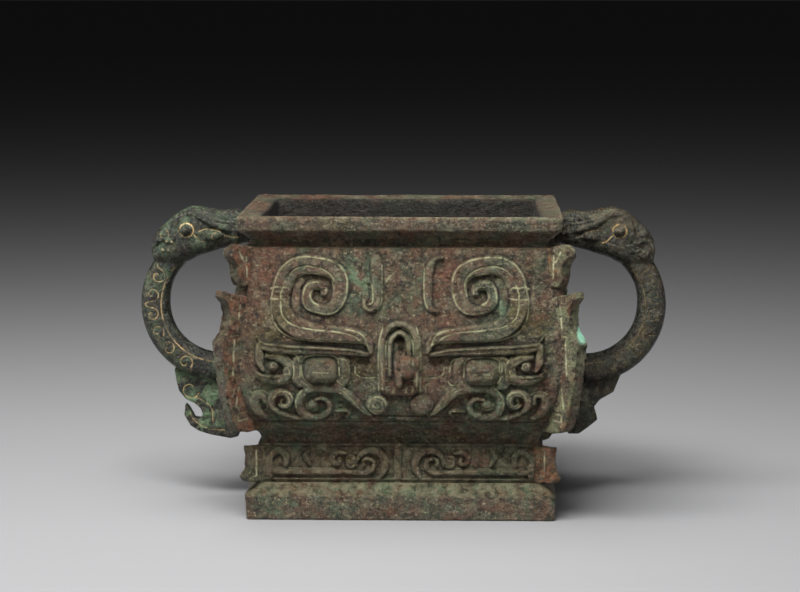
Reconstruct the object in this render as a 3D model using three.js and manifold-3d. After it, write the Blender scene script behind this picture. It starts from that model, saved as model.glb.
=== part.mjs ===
// A cast bronze gui, a rectangular vessel for offerings of food, in millimetres with +Z up.
// The origin is under the middle of the plinth. -Y is the face with the mask, +X its right.
import * as THREE from "three";
import { mergeVertices } from "three/addons/utils/BufferGeometryUtils.js";
import Module from "manifold-3d";

const wasm = await Module();
wasm.setup();

// Driving sizes of the vessel.
const LIP_TOP = 187.3; // height of the lip's outer edge
const LIP_HALF = 98.8; // half of the lip's length along X
const DEPTH_LESS = 19.8; // the vessel is narrower along Y by this much on each side
const CORNER = 2.5; // rounding of the vessel's upright corners
const FLOOR_TOP = 57; // inner floor
const FOOT_ROOF = 51; // underside of that floor, inside the hollow foot
const MOUTH_HALF = 85.3; // half of the mouth's length along X
const MOUTH_DROP = 2; // the lip's top slopes down this much towards the mouth
const FIT = 0.35; // the seam between the body and a handle cast onto it

// Outer profile from the ground up: height, and half of the length along X.
const PLINTH = [[0, 94.8], [15.5, 95.3]];
const FOOT_BAND = [[23.5, 87], [45.6, 86]];
const WAIST = [[46.4, 85.4], [49, 85.4], [53, 87], [55.5, 90], [58.5, 93.3]];
const BELLY = [[62, 96.7], [76, 101.8], [97, 104.5]];
const SHOULDER = [[121, 102.9], [142, 98.4], [166.4, 95.5]];
const NECK = [[168.3, 89.2], [173, 91.2], [178.5, 98]];
const OUTSIDE = [...PLINTH, ...FOOT_BAND, ...WAIST, ...BELLY, ...SHOULDER, ...NECK, [LIP_TOP, LIP_HALF]];

// The cavity, from the floor up.
const INSIDE = [
  [FLOOR_TOP, 77], [60, 84], [66, 91], [80, 97], [97, 99], [113, 98.5],
  [126, 96.8], [141, 93.4], [154, 90], [168, 84.5], [LIP_TOP - MOUTH_DROP, MOUTH_HALF],
];
// The hollow under the ring foot.
const UNDERSIDE = [[-1, 90], [14, 90], [23, 82], [FOOT_ROOF - 3, 80.5], [FOOT_ROOF, 77]];

// Relief: how far each kind of ornament stands proud of its panel.
const SINK = 1.2; // every raised piece starts this far inside the wall
const MASK_RISE = 2.2;
const JAW_RISE = 1.9;
const FOOT_RISE = 1.7;
const EYE_RISE = 5;
const BEVEL = 0.8; // the sides of a raised band lean in by this much

// Driving sizes of the handles.
const LOOP_CENTRE = [117.2, 124.2];
const LOOP_INNER = 31.6;
const LOOP_OUTER = 49.9;
const LOOP_HALF_DEPTH = 10;
const PENDANT_THICK = 9;
const EDGE_ROUND = 5; // rounding of the loop's edges

const WELD = 1e-4; // points closer than this are one point

// A copy of a geometry that keeps only where its points are.
function bareOf(geometry) {
  const copy = geometry.clone();
  copy.deleteAttribute("normal");
  copy.deleteAttribute("uv");
  return copy;
}

// A closed three.js geometry as a solid that can be joined and cut.
function solid(geometry) {
  const merged = mergeVertices(bareOf(geometry), WELD);
  const triVerts = new Uint32Array(merged.index.array);
  const vertProperties = new Float32Array(merged.attributes.position.array);
  return new wasm.Manifold(new wasm.Mesh({ numProp: 3, vertProperties, triVerts }));
}

const join = (solids) => solids.reduce((whole, next) => whole.add(next));

// A solid through a row of rings of points, all with the same count, closed at both ends.
function loft(rings) {
  const count = rings[0].length;
  const points = rings.flat();
  const faces = [];
  for (let ring = 0; ring + 1 < rings.length; ring++) {
    for (let i = 0; i < count; i++) {
      const a = ring * count + i;
      const b = ring * count + ((i + 1) % count);
      faces.push(a, b, b + count, a, b + count, a + count);
    }
  }
  const last = (rings.length - 1) * count;
  for (let i = 1; i + 1 < count; i++) {
    faces.push(0, i + 1, i, last, last + i, last + i + 1);
  }
  if (signedVolume(points, faces) < 0) faces.reverse();
  const geometry = new THREE.BufferGeometry().setFromPoints(points);
  return solid(geometry.setIndex(faces));
}

function signedVolume(points, faces) {
  let sum = 0;
  for (let i = 0; i < faces.length; i += 3) {
    const [a, b, c] = [points[faces[i]], points[faces[i + 1]], points[faces[i + 2]]];
    sum += a.dot(new THREE.Vector3().crossVectors(b, c));
  }
  return sum;
}

// The height of a profile's line at z.
function along(profile, z) {
  const next = profile.findIndex(([height]) => height >= z);
  if (next < 0) return profile[profile.length - 1][1];
  if (next === 0) return profile[0][1];
  const [z0, w0] = profile[next - 1];
  const [z1, w1] = profile[next];
  return w0 + ((w1 - w0) * (z - z0)) / (z1 - z0);
}

// A rectangle with rounded corners, as points around it.
function roundedRectangle(halfA, halfB, radius, steps) {
  const points = [];
  for (let quarter = 0; quarter < 4; quarter++) {
    const signA = quarter === 0 || quarter === 3 ? 1 : -1;
    const signB = quarter < 2 ? 1 : -1;
    for (let step = 0; step <= steps; step++) {
      const angle = ((quarter + step / steps) * Math.PI) / 2;
      points.push([
        signA * (halfA - radius) + radius * Math.cos(angle),
        signB * (halfB - radius) + radius * Math.sin(angle),
      ]);
    }
  }
  return points;
}

// One level ring of the vessel, for its half-length along X.
function level(z, half, grow = 0) {
  const plan = roundedRectangle(half + grow, half - DEPTH_LESS + grow, CORNER, 1);
  return plan.map(([x, y]) => new THREE.Vector3(x, y, z));
}

const vesselForm = (grow) => loft(OUTSIDE.map(([z, half]) => level(z, half, grow)));

function cavity() {
  const rings = INSIDE.map(([z, half]) => level(z, half));
  const slope = (LIP_HALF - 0.6 - MOUTH_HALF) / MOUTH_DROP;
  rings.push(level(LIP_TOP + 1, MOUTH_HALF + slope * (MOUTH_DROP + 1)));
  return loft(rings);
}

const footHollow = () => loft(UNDERSIDE.map(([z, half]) => level(z, half)));

// The four faces. place maps a distance across (u), a height (z) and a rise off the wall to space.
// The front is cut finest, and the faces that are seldom seen are plainer.
const FACES = {
  front: {
    fine: 1,
    place: (u, z, rise) => new THREE.Vector3(u, DEPTH_LESS - along(OUTSIDE, z) - rise, z),
  },
  back: {
    fine: 0.45,
    place: (u, z, rise) => new THREE.Vector3(-u, along(OUTSIDE, z) - DEPTH_LESS + rise, z),
  },
  right: {
    fine: 0.45,
    place: (u, z, rise) => new THREE.Vector3(along(OUTSIDE, z) + rise, u, z),
  },
  left: {
    fine: 0.45,
    place: (u, z, rise) => new THREE.Vector3(-along(OUTSIDE, z) - rise, -u, z),
  },
};

// A raised band with leaning sides along a path of [u, z] points.
// halfWidth and rise are numbers, or functions of the share of the way along the path.
function band(face, path, halfWidth, rise) {
  const widthAt = typeof halfWidth === "function" ? halfWidth : () => halfWidth;
  const riseAt = typeof rise === "function" ? rise : () => rise;
  const rings = path.map(([u, z], i) => {
    const [u0, z0] = path[Math.max(i - 1, 0)];
    const [u1, z1] = path[Math.min(i + 1, path.length - 1)];
    const length = Math.hypot(u1 - u0, z1 - z0);
    const [across, up] = [(z1 - z0) / length, (u0 - u1) / length];
    const share = i / (path.length - 1);
    const [base, height] = [widthAt(share), riseAt(share)];
    const top = Math.max(base - BEVEL, base * 0.4);
    return [
      face.place(u - across * base, z - up * base, -SINK),
      face.place(u + across * base, z + up * base, -SINK),
      face.place(u + across * top, z + up * top, height),
      face.place(u - across * top, z - up * top, height),
    ];
  });
  return loft(rings);
}

// A cushion on the face: a rounded rectangle that domes towards its middle.
function cushion(face, [u, z], halfU, halfZ, radius, rise) {
  const layers = [[1, -SINK], [0.97, rise * 0.5], [0.6, rise]];
  return loft(layers.map(([share, height]) =>
    roundedRectangle(halfU * share, halfZ * share, radius * share, 1)
      .map(([a, b]) => face.place(u + a, z + b, height))));
}

// A smooth path through a few points.
function smooth(points, steps) {
  const curve = new THREE.CatmullRomCurve3(points.map(([u, z]) => new THREE.Vector3(u, z, 0)));
  return curve.getSpacedPoints(Math.round(steps)).map((p) => [p.x, p.y]);
}

// A spiral about a centre: radius and angle run from the first to the last value, and the radius
// shrinks by the same share at each step. Angles are in degrees from +u towards +z.
function spiral([u, z], [radius0, radius1], [angle0, angle1], steps) {
  const count = Math.round(steps);
  return Array.from({ length: count + 1 }, (_, i) => {
    const share = i / count;
    const radius = radius0 * (radius1 / radius0) ** share;
    const angle = THREE.MathUtils.degToRad(angle0 + (angle1 - angle0) * share);
    return [u + radius * Math.cos(angle), z + radius * Math.sin(angle)];
  });
}

const mirrored = (path, side) => path.map(([u, z]) => [side * u, z]);

// The horn: a band that rises beside the nose, runs out, and coils up and in.
function horn(face, side) {
  const rise = [[19.5, 104.5], [23, 110.5], [31, 114.6], [45, 115.6], [60, 117.2], [68.8, 123.5]];
  const coil = spiral([49, 141], [23, 4.2], [-18, 470], 16 * face.fine);
  const path = [...smooth(rise, 5 * face.fine), ...coil];
  const width = (share) => {
    if (share < 0.2) return 3.2 + share * 10;
    return 5.4 - 7.8 * Math.max(0, share - 0.5);
  };
  return band(face, mirrored(path, side), width, MASK_RISE);
}

// The brow: a straight ridge over the eye that turns down at its outer end.
function brow(face, side) {
  const path = [[18, 105], [32, 106], [55, 107], [76, 108.4], [83, 108], [86, 103.5], [85.3, 97.5]];
  return band(face, mirrored(path, side), (share) => 2.4 + 0.5 * share, MASK_RISE + 0.4);
}

// The ear: a C that opens outward below the end of the brow.
function ear(face, side) {
  const path = smooth([[77, 103.2], [69, 102.2], [66, 96], [68.5, 89.2], [77, 88.2], [88, 92.2]], 7 * face.fine);
  return band(face, mirrored(path, side), 2.7, MASK_RISE - 0.3);
}

// The quill between the horns: an upright bar that hooks outward at its foot.
function quill(face, side) {
  const path = smooth([[12, 162], [12, 146], [12.6, 134], [17.5, 129.3], [22.3, 133.5]], 5 * face.fine);
  return band(face, mirrored(path, side), (share) => 3.6 - 1.3 * share, MASK_RISE);
}

// The nose: a broad ridge with a round top, a narrower ridge on it, and a nostril either side.
function nose(face) {
  const arch = (half, top) => (share) => {
    const over = Math.max(0, (share - top) / (1 - top));
    return half * Math.sqrt(Math.max(0.04, 1 - over ** 2));
  };
  const bridge = smooth([[0, 84], [0, 124]], 7 * face.fine);
  const ridge = smooth([[0, 88], [0, 119]], 6 * face.fine);
  return [
    band(face, bridge, arch(11.8, 0.72), 1.8),
    band(face, ridge, arch(6.2, 0.7), (share) => 5.2 - 2.2 * share),
    ...[-1, 1].map((side) => cushion(face, [side * 13.5, 72.7], 6, 6, 5.8, 3)),
  ];
}

const eye = (face, side) => cushion(face, [side * 48.7, 94.5], 10.3, 8, 6, EYE_RISE);

// The jaw: a row of hooks and scrolls under the eye.
function jaw(face, side) {
  const small = spiral([70.5, 75], [7.6, 2.2], [-60, 330], 8 * face.fine);
  const arch = smooth([[21, 66.5], [27.5, 75], [34.5, 81.5], [45, 83]], 4 * face.fine);
  const big = [...arch, ...spiral([51.5, 75.3], [8.8, 2.8], [80, -240], 8 * face.fine)];
  return [
    band(face, mirrored([[87, 66], [83, 73], [88, 82]], side), (share) => 3 - 1.4 * share, JAW_RISE),
    band(face, mirrored(small, side), (share) => 2.6 - 1.1 * share, JAW_RISE),
    band(face, mirrored(big, side), (share) => 2.2 + 0.6 * Math.sin(Math.PI * share), JAW_RISE),
  ];
}

function mask(face) {
  return [
    ...nose(face),
    ...[-1, 1].flatMap((side) => [
      horn(face, side), brow(face, side), ear(face, side), quill(face, side), eye(face, side),
      ...jaw(face, side),
    ]),
  ];
}

function sideCoil(face) {
  const stem = smooth([[18, 112], [36, 114.5], [53, 122]], 4 * face.fine);
  return [...stem, ...spiral([40, 138], [16, 4.6], [-25, 330], 12 * face.fine)];
}

// The narrow faces carry, on each side of the handle, a plain coil over a brow and an eye.
function sidePanel(face) {
  const scroll = spiral([54, 75], [8.4, 2.4], [-60, 300], 8 * face.fine);
  return [-1, 1].flatMap((side) => [
    band(face, mirrored(sideCoil(face), side), (share) => 4.2 - 1.9 * share, MASK_RISE),
    band(face, mirrored([[18, 104.5], [40, 106], [62, 107], [66, 101]], side), 2.4, MASK_RISE),
    cushion(face, [side * 40, 92.5], 8.5, 7, 5, EYE_RISE - 1.5),
    band(face, mirrored(scroll, side), (share) => 2.8 - share, JAW_RISE),
  ]);
}

// A kui dragon of the foot band: a level body that coils up at the outer end, with a large coil
// for its tail beside the middle rib. reach is how far from the middle its coil stands.
function dragon(face, side, reach, tail) {
  const coil = spiral([reach - 6, 35.6], [7.4, 3.4], [-60, 200], 6 * face.fine);
  const body = [[tail + 6, 28.2], [reach - 6, 28.2]];
  const tailCoil = spiral([tail, 34.6], [8.6, 2.6], [180, -250], 8 * face.fine);
  return [
    band(face, mirrored([...body, ...coil], side), (share) => 2.5 - 0.6 * share, FOOT_RISE),
    band(face, mirrored(tailCoil, side), (share) => 2.4 - 0.9 * share, FOOT_RISE),
  ];
}

// The boss, the curl and the upright leaf that fill the body's length on the front.
function fillers(face, side) {
  const curl = spiral([41, 37.4], [4.4, 3.4], [-60, 210], 5);
  return [
    cushion(face, [side * 30, 35.8], 3.4, 3.8, 3.3, FOOT_RISE + 0.3),
    band(face, mirrored(curl, side), 1.5, FOOT_RISE),
    band(face, mirrored([[56.5, 31.5], [57.2, 42.3]], side), 2.4, FOOT_RISE),
  ];
}

function footBand() {
  const { front, back, left, right } = FACES;
  const rib = (face, u) => band(face, [[u, 23], [u, 45.2]], 2.6, FOOT_RISE);
  const pair = (face, reach) => [-1, 1].flatMap((side) => dragon(face, side, reach, 16.5));
  return [
    ...[front, back].flatMap((face) => [rib(face, -1), ...pair(face, 82)]),
    ...[left, right].flatMap((face) => [rib(face, 0), ...pair(face, 62)]),
    ...[-1, 1].flatMap((side) => fillers(front, side)),
  ];
}

// A corner flange stands on the upright plane that halves the corner. Its outline is given by x
// and height on that plane: outer points from the top down, each the middle of the plate's edge.
function flange(outer, thick, [signX, signY]) {
  const inner = outer.map(([, z]) => z).reverse()
    .filter((z, i, all) => i === 0 || z - all[i - 1] > 1)
    .map((z) => [along(OUTSIDE, z) - 4, z]);
  const outline = [...outer, ...inner].map(([x, z]) => new THREE.Vector2(x * Math.SQRT2, z));
  const geometry = new THREE.ExtrudeGeometry(new THREE.Shape(outline), { depth: thick, bevelEnabled: false });
  geometry.translate(-DEPTH_LESS * Math.SQRT1_2, 0, -thick / 2);
  const along45 = new THREE.Vector3(1, -1, 0).normalize();
  const through = new THREE.Vector3(-1, -1, 0).normalize();
  const turn = new THREE.Matrix4().makeBasis(along45, new THREE.Vector3(0, 0, 1), through);
  geometry.applyMatrix4(turn).translate(DEPTH_LESS / 2, DEPTH_LESS / 2, 0);
  return solid(reflected(geometry, signX, signY));
}

// A copy of a geometry with x and y each kept or reversed, its faces still pointing out.
function reflected(geometry, signX, signY) {
  const copy = mergeVertices(bareOf(geometry), WELD);
  copy.scale(signX, signY, 1);
  if (signX * signY < 0) copy.setIndex([...copy.index.array].reverse());
  return copy;
}

// The three lengths of each body flange and the short one on the foot. Each hook turns up and out.
const UPPER_FLANGE = [[99, 171], [103.4, 167.4], [103.6, 163.8], [100.2, 158], [99.6, 149], [97.6, 144.6]];
const MIDDLE_FLANGE = [
  [98, 139.5], [103, 140.8], [107.6, 143.4], [108.6, 139.6], [105.6, 135], [105, 128],
  [106.6, 119], [109.6, 113.8],
];
const LOWER_FLANGE = [
  [111, 112], [110.8, 107], [109.4, 91], [107.4, 76], [104.6, 63], [101.6, 56.6], [94, 54.6],
];
const FOOT_FLANGE = [
  [89, 45.8], [93.8, 45.6], [93.2, 38], [93.6, 31.5], [96.8, 26.6], [94.6, 23.4], [89, 22.6],
];
const FLANGE_THICK = 9;
const FOOT_FLANGE_THICK = 7;

function flanges() {
  const corners = [[-1, 1], [1, 1], [-1, -1], [1, -1]];
  return corners.flatMap((corner) => [
    flange(UPPER_FLANGE, FLANGE_THICK, corner),
    flange([...MIDDLE_FLANGE, ...LOWER_FLANGE], FLANGE_THICK, corner),
    flange(FOOT_FLANGE, FOOT_FLANGE_THICK, corner),
  ]);
}

function vesselSolid() {
  const { front, back, left, right } = FACES;
  const raised = [
    ...mask(front), ...mask(back), ...sidePanel(left), ...sidePanel(right), ...footBand(),
    ...flanges(),
  ];
  return join([vesselForm(0), ...raised]).subtract(cavity()).subtract(footHollow());
}

// A point on the loop of the right handle, at an angle in degrees from +X towards +Z.
const onLoop = (radius, degrees) => {
  const angle = THREE.MathUtils.degToRad(degrees);
  return [LOOP_CENTRE[0] + radius * Math.cos(angle), LOOP_CENTRE[1] + radius * Math.sin(angle)];
};

// One ring of the loop between an inner and an outer point of its side view.
function loopRing([x0, z0], [x1, z1], halfDepth) {
  const half = Math.hypot(x1 - x0, z1 - z0) / 2;
  const [dirX, dirZ] = [(x1 - x0) / (2 * half), (z1 - z0) / (2 * half)];
  const [midX, midZ] = [(x0 + x1) / 2, (z0 + z1) / 2];
  return roundedRectangle(half, halfDepth, EDGE_ROUND, 1)
    .map(([a, y]) => new THREE.Vector3(midX + dirX * a, y, midZ + dirZ * a));
}

// The loop, from the belly under the hand, round the outside and up into the head.
function loop() {
  const [top, steps] = [62, 12];
  const rings = [loopRing([100, 93], [100, 73.8], LOOP_HALF_DEPTH)];
  for (let i = 0; i <= steps; i++) {
    const angle = -90 + ((top + 90) * i) / steps;
    const inner = LOOP_INNER + (2.2 * Math.max(0, angle)) / top;
    rings.push(loopRing(onLoop(inner, angle), onLoop(LOOP_OUTER, angle), LOOP_HALF_DEPTH));
  }
  return loft(rings);
}

// The head that bites the loop, from the lip to the snout: x, bottom, top and half-depth.
const HEAD = [
  [96, 164, 182.6, 9.2], [103.4, 162.6, 183.6, 9.8], [104.6, 162, 185, 11.2], [108.6, 161.4, 185, 11.2],
  [109.8, 160.8, 184.2, 10.4], [116.7, 159, 184, 10.8], [122.6, 157, 185.2, 12], [129.8, 154.8, 186.8, 13.6],
  [136, 151.5, 186.2, 14.2], [142, 149, 183.4, 13.8], [149.5, 147.5, 177.4, 12.2], [155.4, 149, 171.6, 10.8],
  [158.8, 152, 165.6, 9],
];

function head() {
  return loft(HEAD.map(([x, low, high, half]) =>
    roundedRectangle((high - low) / 2, half, Math.min(half, (high - low) / 2) * 0.5, 1)
      .map(([a, y]) => new THREE.Vector3(x, y, (high + low) / 2 + a))));
}

// A round bar along a path on one side of the head.
function bar(path, radius) {
  const curve = new THREE.CatmullRomCurve3(path.map((p) => new THREE.Vector3(...p)));
  const count = 6; // sides of the bar
  const points = curve.getSpacedPoints(7);
  return loft(points.map((centre, i) => {
    const tangent = curve.getTangentAt(i / (points.length - 1));
    const sideways = new THREE.Vector3(0, 1, 0).cross(tangent).normalize();
    const out = new THREE.Vector3().crossVectors(tangent, sideways);
    return Array.from({ length: count }, (_, k) => {
      const angle = (k / count) * 2 * Math.PI;
      return centre.clone()
        .addScaledVector(sideways, radius * Math.cos(angle))
        .addScaledVector(out, radius * Math.sin(angle));
    });
  }));
}

function ball([x, y, z], [rx, ry, rz], sections = 8) {
  const geometry = new THREE.SphereGeometry(1, sections, 5);
  return solid(geometry.scale(rx, ry, rz).translate(x, y, z));
}

// The horn over the eye, as the middle line of a round bar.
const HORN_BAR = [
  [103, 9.4, 172.5], [114, 10.2, 174.6], [124, 12, 179], [133, 12.6, 182.2], [141, 12.4, 180],
  [145.5, 12.2, 173],
];

// Horns, eyes, ears and nostrils, the same on both sides of the head.
function features() {
  return [-1, 1].flatMap((side) => [
    bar(HORN_BAR.map(([x, y, z]) => [x, side * y, z]), 2.5),
    ball([136.3, side * 13.2, 172.2], [4.6, 3, 4.6]),
    ball([117.5, side * 10.2, 168.6], [7.5, 2.6, 3.6]),
    ball([155.6, side * 8.4, 168], [3.4, 3, 3.6], 6),
    ball([152.8, side * 10, 158.5], [4.4, 3.4, 4.4], 6),
  ]);
}

// The pendant under the loop, as its outline from the belly's side round to the notch.
const PENDANT = [
  [106, 80], [105, 60], [105.5, 38.6], [110.7, 37.4], [123.2, 39.6], [131, 42], [136.5, 45.6],
  [140.3, 52.5], [139.6, 59.2], [137.2, 57], [133.6, 50.4], [129.6, 50], [128.4, 53], [129.8, 56.8],
  [133.5, 60], [139, 62.6], [143.4, 68], [145, 74], [146.2, 82],
];
// On the right the hook has snapped off, and a rough edge is left.
const BROKEN_PENDANT = [
  [106, 80], [105, 60], [105.5, 41.4], [112.5, 41.4], [118, 45.4], [124.2, 50.6], [123.4, 54.6],
  [122, 58.8], [125.4, 63.4], [134.4, 68.6], [138, 77.6], [140, 84],
];

function pendant(outline) {
  const shape = new THREE.Shape(outline.map(([x, z]) => new THREE.Vector2(x, z)));
  const geometry = new THREE.ExtrudeGeometry(shape, { depth: PENDANT_THICK, bevelEnabled: false });
  return solid(geometry.rotateX(Math.PI / 2).translate(0, PENDANT_THICK / 2, 0));
}

// A handle is modelled on the right, trimmed to the body with a seam, and turned to its side.
function handleSolid(outline, sign) {
  const whole = join([loop(), head(), ...features(), pendant(outline)]).subtract(vesselForm(FIT));
  return solid(reflected(geometryOf(whole.getMesh()), sign, 1));
}

function geometryOf({ vertProperties, triVerts }) {
  const geometry = new THREE.BufferGeometry();
  geometry.setAttribute("position", new THREE.BufferAttribute(vertProperties, 3));
  return geometry.setIndex(new THREE.BufferAttribute(triVerts, 1));
}

function named(name, whole, color) {
  const geometry = geometryOf(whole.getMesh()).toNonIndexed();
  geometry.computeVertexNormals();
  const material = new THREE.MeshStandardMaterial({ color, roughness: 0.62, metalness: 0.55 });
  const mesh = new THREE.Mesh(geometry, material);
  mesh.name = name;
  return mesh;
}

const gui = new THREE.Group();
gui.add(named("vessel", vesselSolid(), 0x5d5a46));
gui.add(named("handle_left", handleSolid(PENDANT, -1), 0x3f4c3a));
gui.add(named("handle_right", handleSolid(BROKEN_PENDANT, 1), 0x6b6246));

export default gui;
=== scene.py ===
# %% [markdown]
# A rectangular bronze gui, a vessel for offerings of grain, cast about three thousand years ago. The body,
# its ring foot and its corner flanges are one casting; the two beast-headed handles were cast onto it.
# The CAD frame holds its size and its main forms. This lesson gives it its real surface: relief with
# soft cast edges, engraved lines, corrosion, and a patina that changes from place to place.

# %% Load the frame
import math
from itertools import product

import bpy
import numpy as np
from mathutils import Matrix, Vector


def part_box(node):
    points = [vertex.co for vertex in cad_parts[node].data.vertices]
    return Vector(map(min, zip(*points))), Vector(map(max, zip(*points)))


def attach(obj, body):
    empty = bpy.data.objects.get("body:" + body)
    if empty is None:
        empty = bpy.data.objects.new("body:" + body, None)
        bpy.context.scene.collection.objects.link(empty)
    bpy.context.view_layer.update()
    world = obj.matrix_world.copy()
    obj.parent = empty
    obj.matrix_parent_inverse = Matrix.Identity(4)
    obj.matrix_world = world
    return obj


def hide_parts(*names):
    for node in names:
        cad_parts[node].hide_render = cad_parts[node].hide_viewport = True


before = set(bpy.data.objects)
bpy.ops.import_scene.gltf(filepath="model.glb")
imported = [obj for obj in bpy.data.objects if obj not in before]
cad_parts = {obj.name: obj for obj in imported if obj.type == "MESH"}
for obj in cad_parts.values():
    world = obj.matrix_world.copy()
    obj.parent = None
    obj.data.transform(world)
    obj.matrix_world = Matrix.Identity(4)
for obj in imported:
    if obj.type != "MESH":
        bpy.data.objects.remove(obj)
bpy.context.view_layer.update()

MM = 0.001
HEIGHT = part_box("vessel")[1][2] / MM
DEPTH_LESS = 19.8
print(f"the vessel stands {HEIGHT:.1f} mm tall")

# %% [markdown]
# Old bronze is uneven at every scale, from dents a hand wide to pits like grains of sand. Value noise
# gives all of them: random numbers on a lattice, blended smoothly between its corners. It is worked out
# from each point's place alone, so it is the same on every run and has no seam between the faces.

# %% Noise
def value_noise(points, cell, seed):
    """Smooth random values from -1 to 1 at points in millimetres."""
    scaled = points / cell
    base = np.floor(scaled).astype(np.int64)
    part = scaled - base
    part = part * part * (3 - 2 * part)
    total = np.zeros(len(points))
    for corner in product((0, 1), repeat=3):
        x, y, z = (base + corner).T
        mixed = (x * 73856093) ^ (y * 19349663) ^ (z * 83492791) ^ (seed * 6542989)
        mixed = (mixed * 2654435761 + 1013904223) & 0xFFFFFFFF
        mixed = ((mixed >> 15) ^ mixed) * 2246822519 & 0xFFFFFFFF
        value = (mixed >> 9) / float(1 << 23)
        weight = np.prod(np.where(corner, part, 1 - part), axis=1)
        total += weight * value
    return total * 2 - 1


def rough(points, cell, octaves, seed):
    """Several layers of noise, each half as large and half as strong as the last."""
    total = np.zeros(len(points))
    for octave in range(octaves):
        total += value_noise(points, cell / 2**octave, seed + octave) / 2**octave
    return total / (2 - 2 ** (1 - octaves))


def smoothstep(low, high, value):
    share = np.clip((value - low) / (high - low), 0, 1)
    return share * share * (3 - 2 * share)


# %% [markdown]
# The ornament was carved in the clay model and in the moulds: broad flat bands with rounded shoulders,
# and thin lines cut along them. A height map over each face holds it. A band is drawn by its distance
# from a path: inside its half width the surface rises with a soft shoulder. A line is a narrow groove.
# Modelling each band as a mesh would need joins everywhere; a map lets bands flow into each other.

# %% Paths
def curve(points, step=0.8):
    """A smooth path through a few points, cut into equal steps."""
    p = np.array(points, float)
    p = np.vstack([2 * p[0] - p[1], p, 2 * p[-1] - p[-2]])
    share = np.linspace(0, 1, 16, endpoint=False)[:, None]
    parts = []
    for a, b, c, d in zip(p[:-3], p[1:-2], p[2:-1], p[3:]):
        bend = 2 * a - 5 * b + 4 * c - d
        twist = 3 * b - a - 3 * c + d
        parts.append(0.5 * (2 * b + (c - a) * share + bend * share**2 + twist * share**3))
    fine = np.vstack([*parts, p[-2:-1]])
    return even(fine, step)


def even(points, step):
    """The same path with its points a step apart."""
    points = np.asarray(points, float)
    lengths = np.linalg.norm(np.diff(points, axis=0), axis=1)
    along = np.concatenate([[0], np.cumsum(lengths)])
    count = max(2, int(along[-1] / step) + 1)
    at = np.linspace(0, along[-1], count)
    return np.column_stack([np.interp(at, along, points[:, k]) for k in range(points.shape[1])])


def coil(centre, radii, start=0.0, turn=90.0, square=0.0):
    """A spiral through its radii, one for each turn. The angles are in degrees, from +u towards +z.

    With square above 0 the corners are full, as the founders drew their scrolls.
    """
    count = (len(radii) - 1) * 16
    quarter = np.linspace(0, len(radii) - 1, count + 1)
    radius = np.exp(np.interp(quarter, np.arange(len(radii)), np.log(radii)))
    angle = np.radians(start + turn * quarter)
    radius *= 1 + square * np.sin(2 * angle) ** 2
    return np.column_stack([centre[0] + radius * np.cos(angle), centre[1] + radius * np.sin(angle)])


def smoothed(points):
    """A list of three points or more as a smooth path. Anything else is a path already."""
    return curve(points) if isinstance(points, list) and len(points) > 2 else np.asarray(points, float)


def flip(path):
    """The path seen in a mirror, for the other half of a face."""
    return np.asarray(path) * (-1, 1)


def tapered(halves, share):
    """The half width at a share of the way along a path, from one value or several for the whole way."""
    halves = np.atleast_1d(halves)
    return np.interp(share, np.linspace(0, 1, len(halves)), halves)


# %% Blurring a map
def blurred(field, reach):
    """The mean over a square of cells, twice."""
    for _ in range(2):
        for axis in (0, 1):
            pad = [(0, 0), (0, 0)]
            pad[axis] = (reach + 1, reach)
            total = np.cumsum(np.pad(field, pad, mode="edge"), axis=axis)
            span = 2 * reach + 1
            low = np.take(total, range(0, field.shape[axis]), axis=axis)
            high = np.take(total, range(span, span + field.shape[axis]), axis=axis)
            field = (high - low) / span
    return field


# %% The height map
CROWN = 0.24
LINE = 0.42
FINE_LINE = 0.36
WIDE_LINE = 0.5
FAR = 99.0


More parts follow.
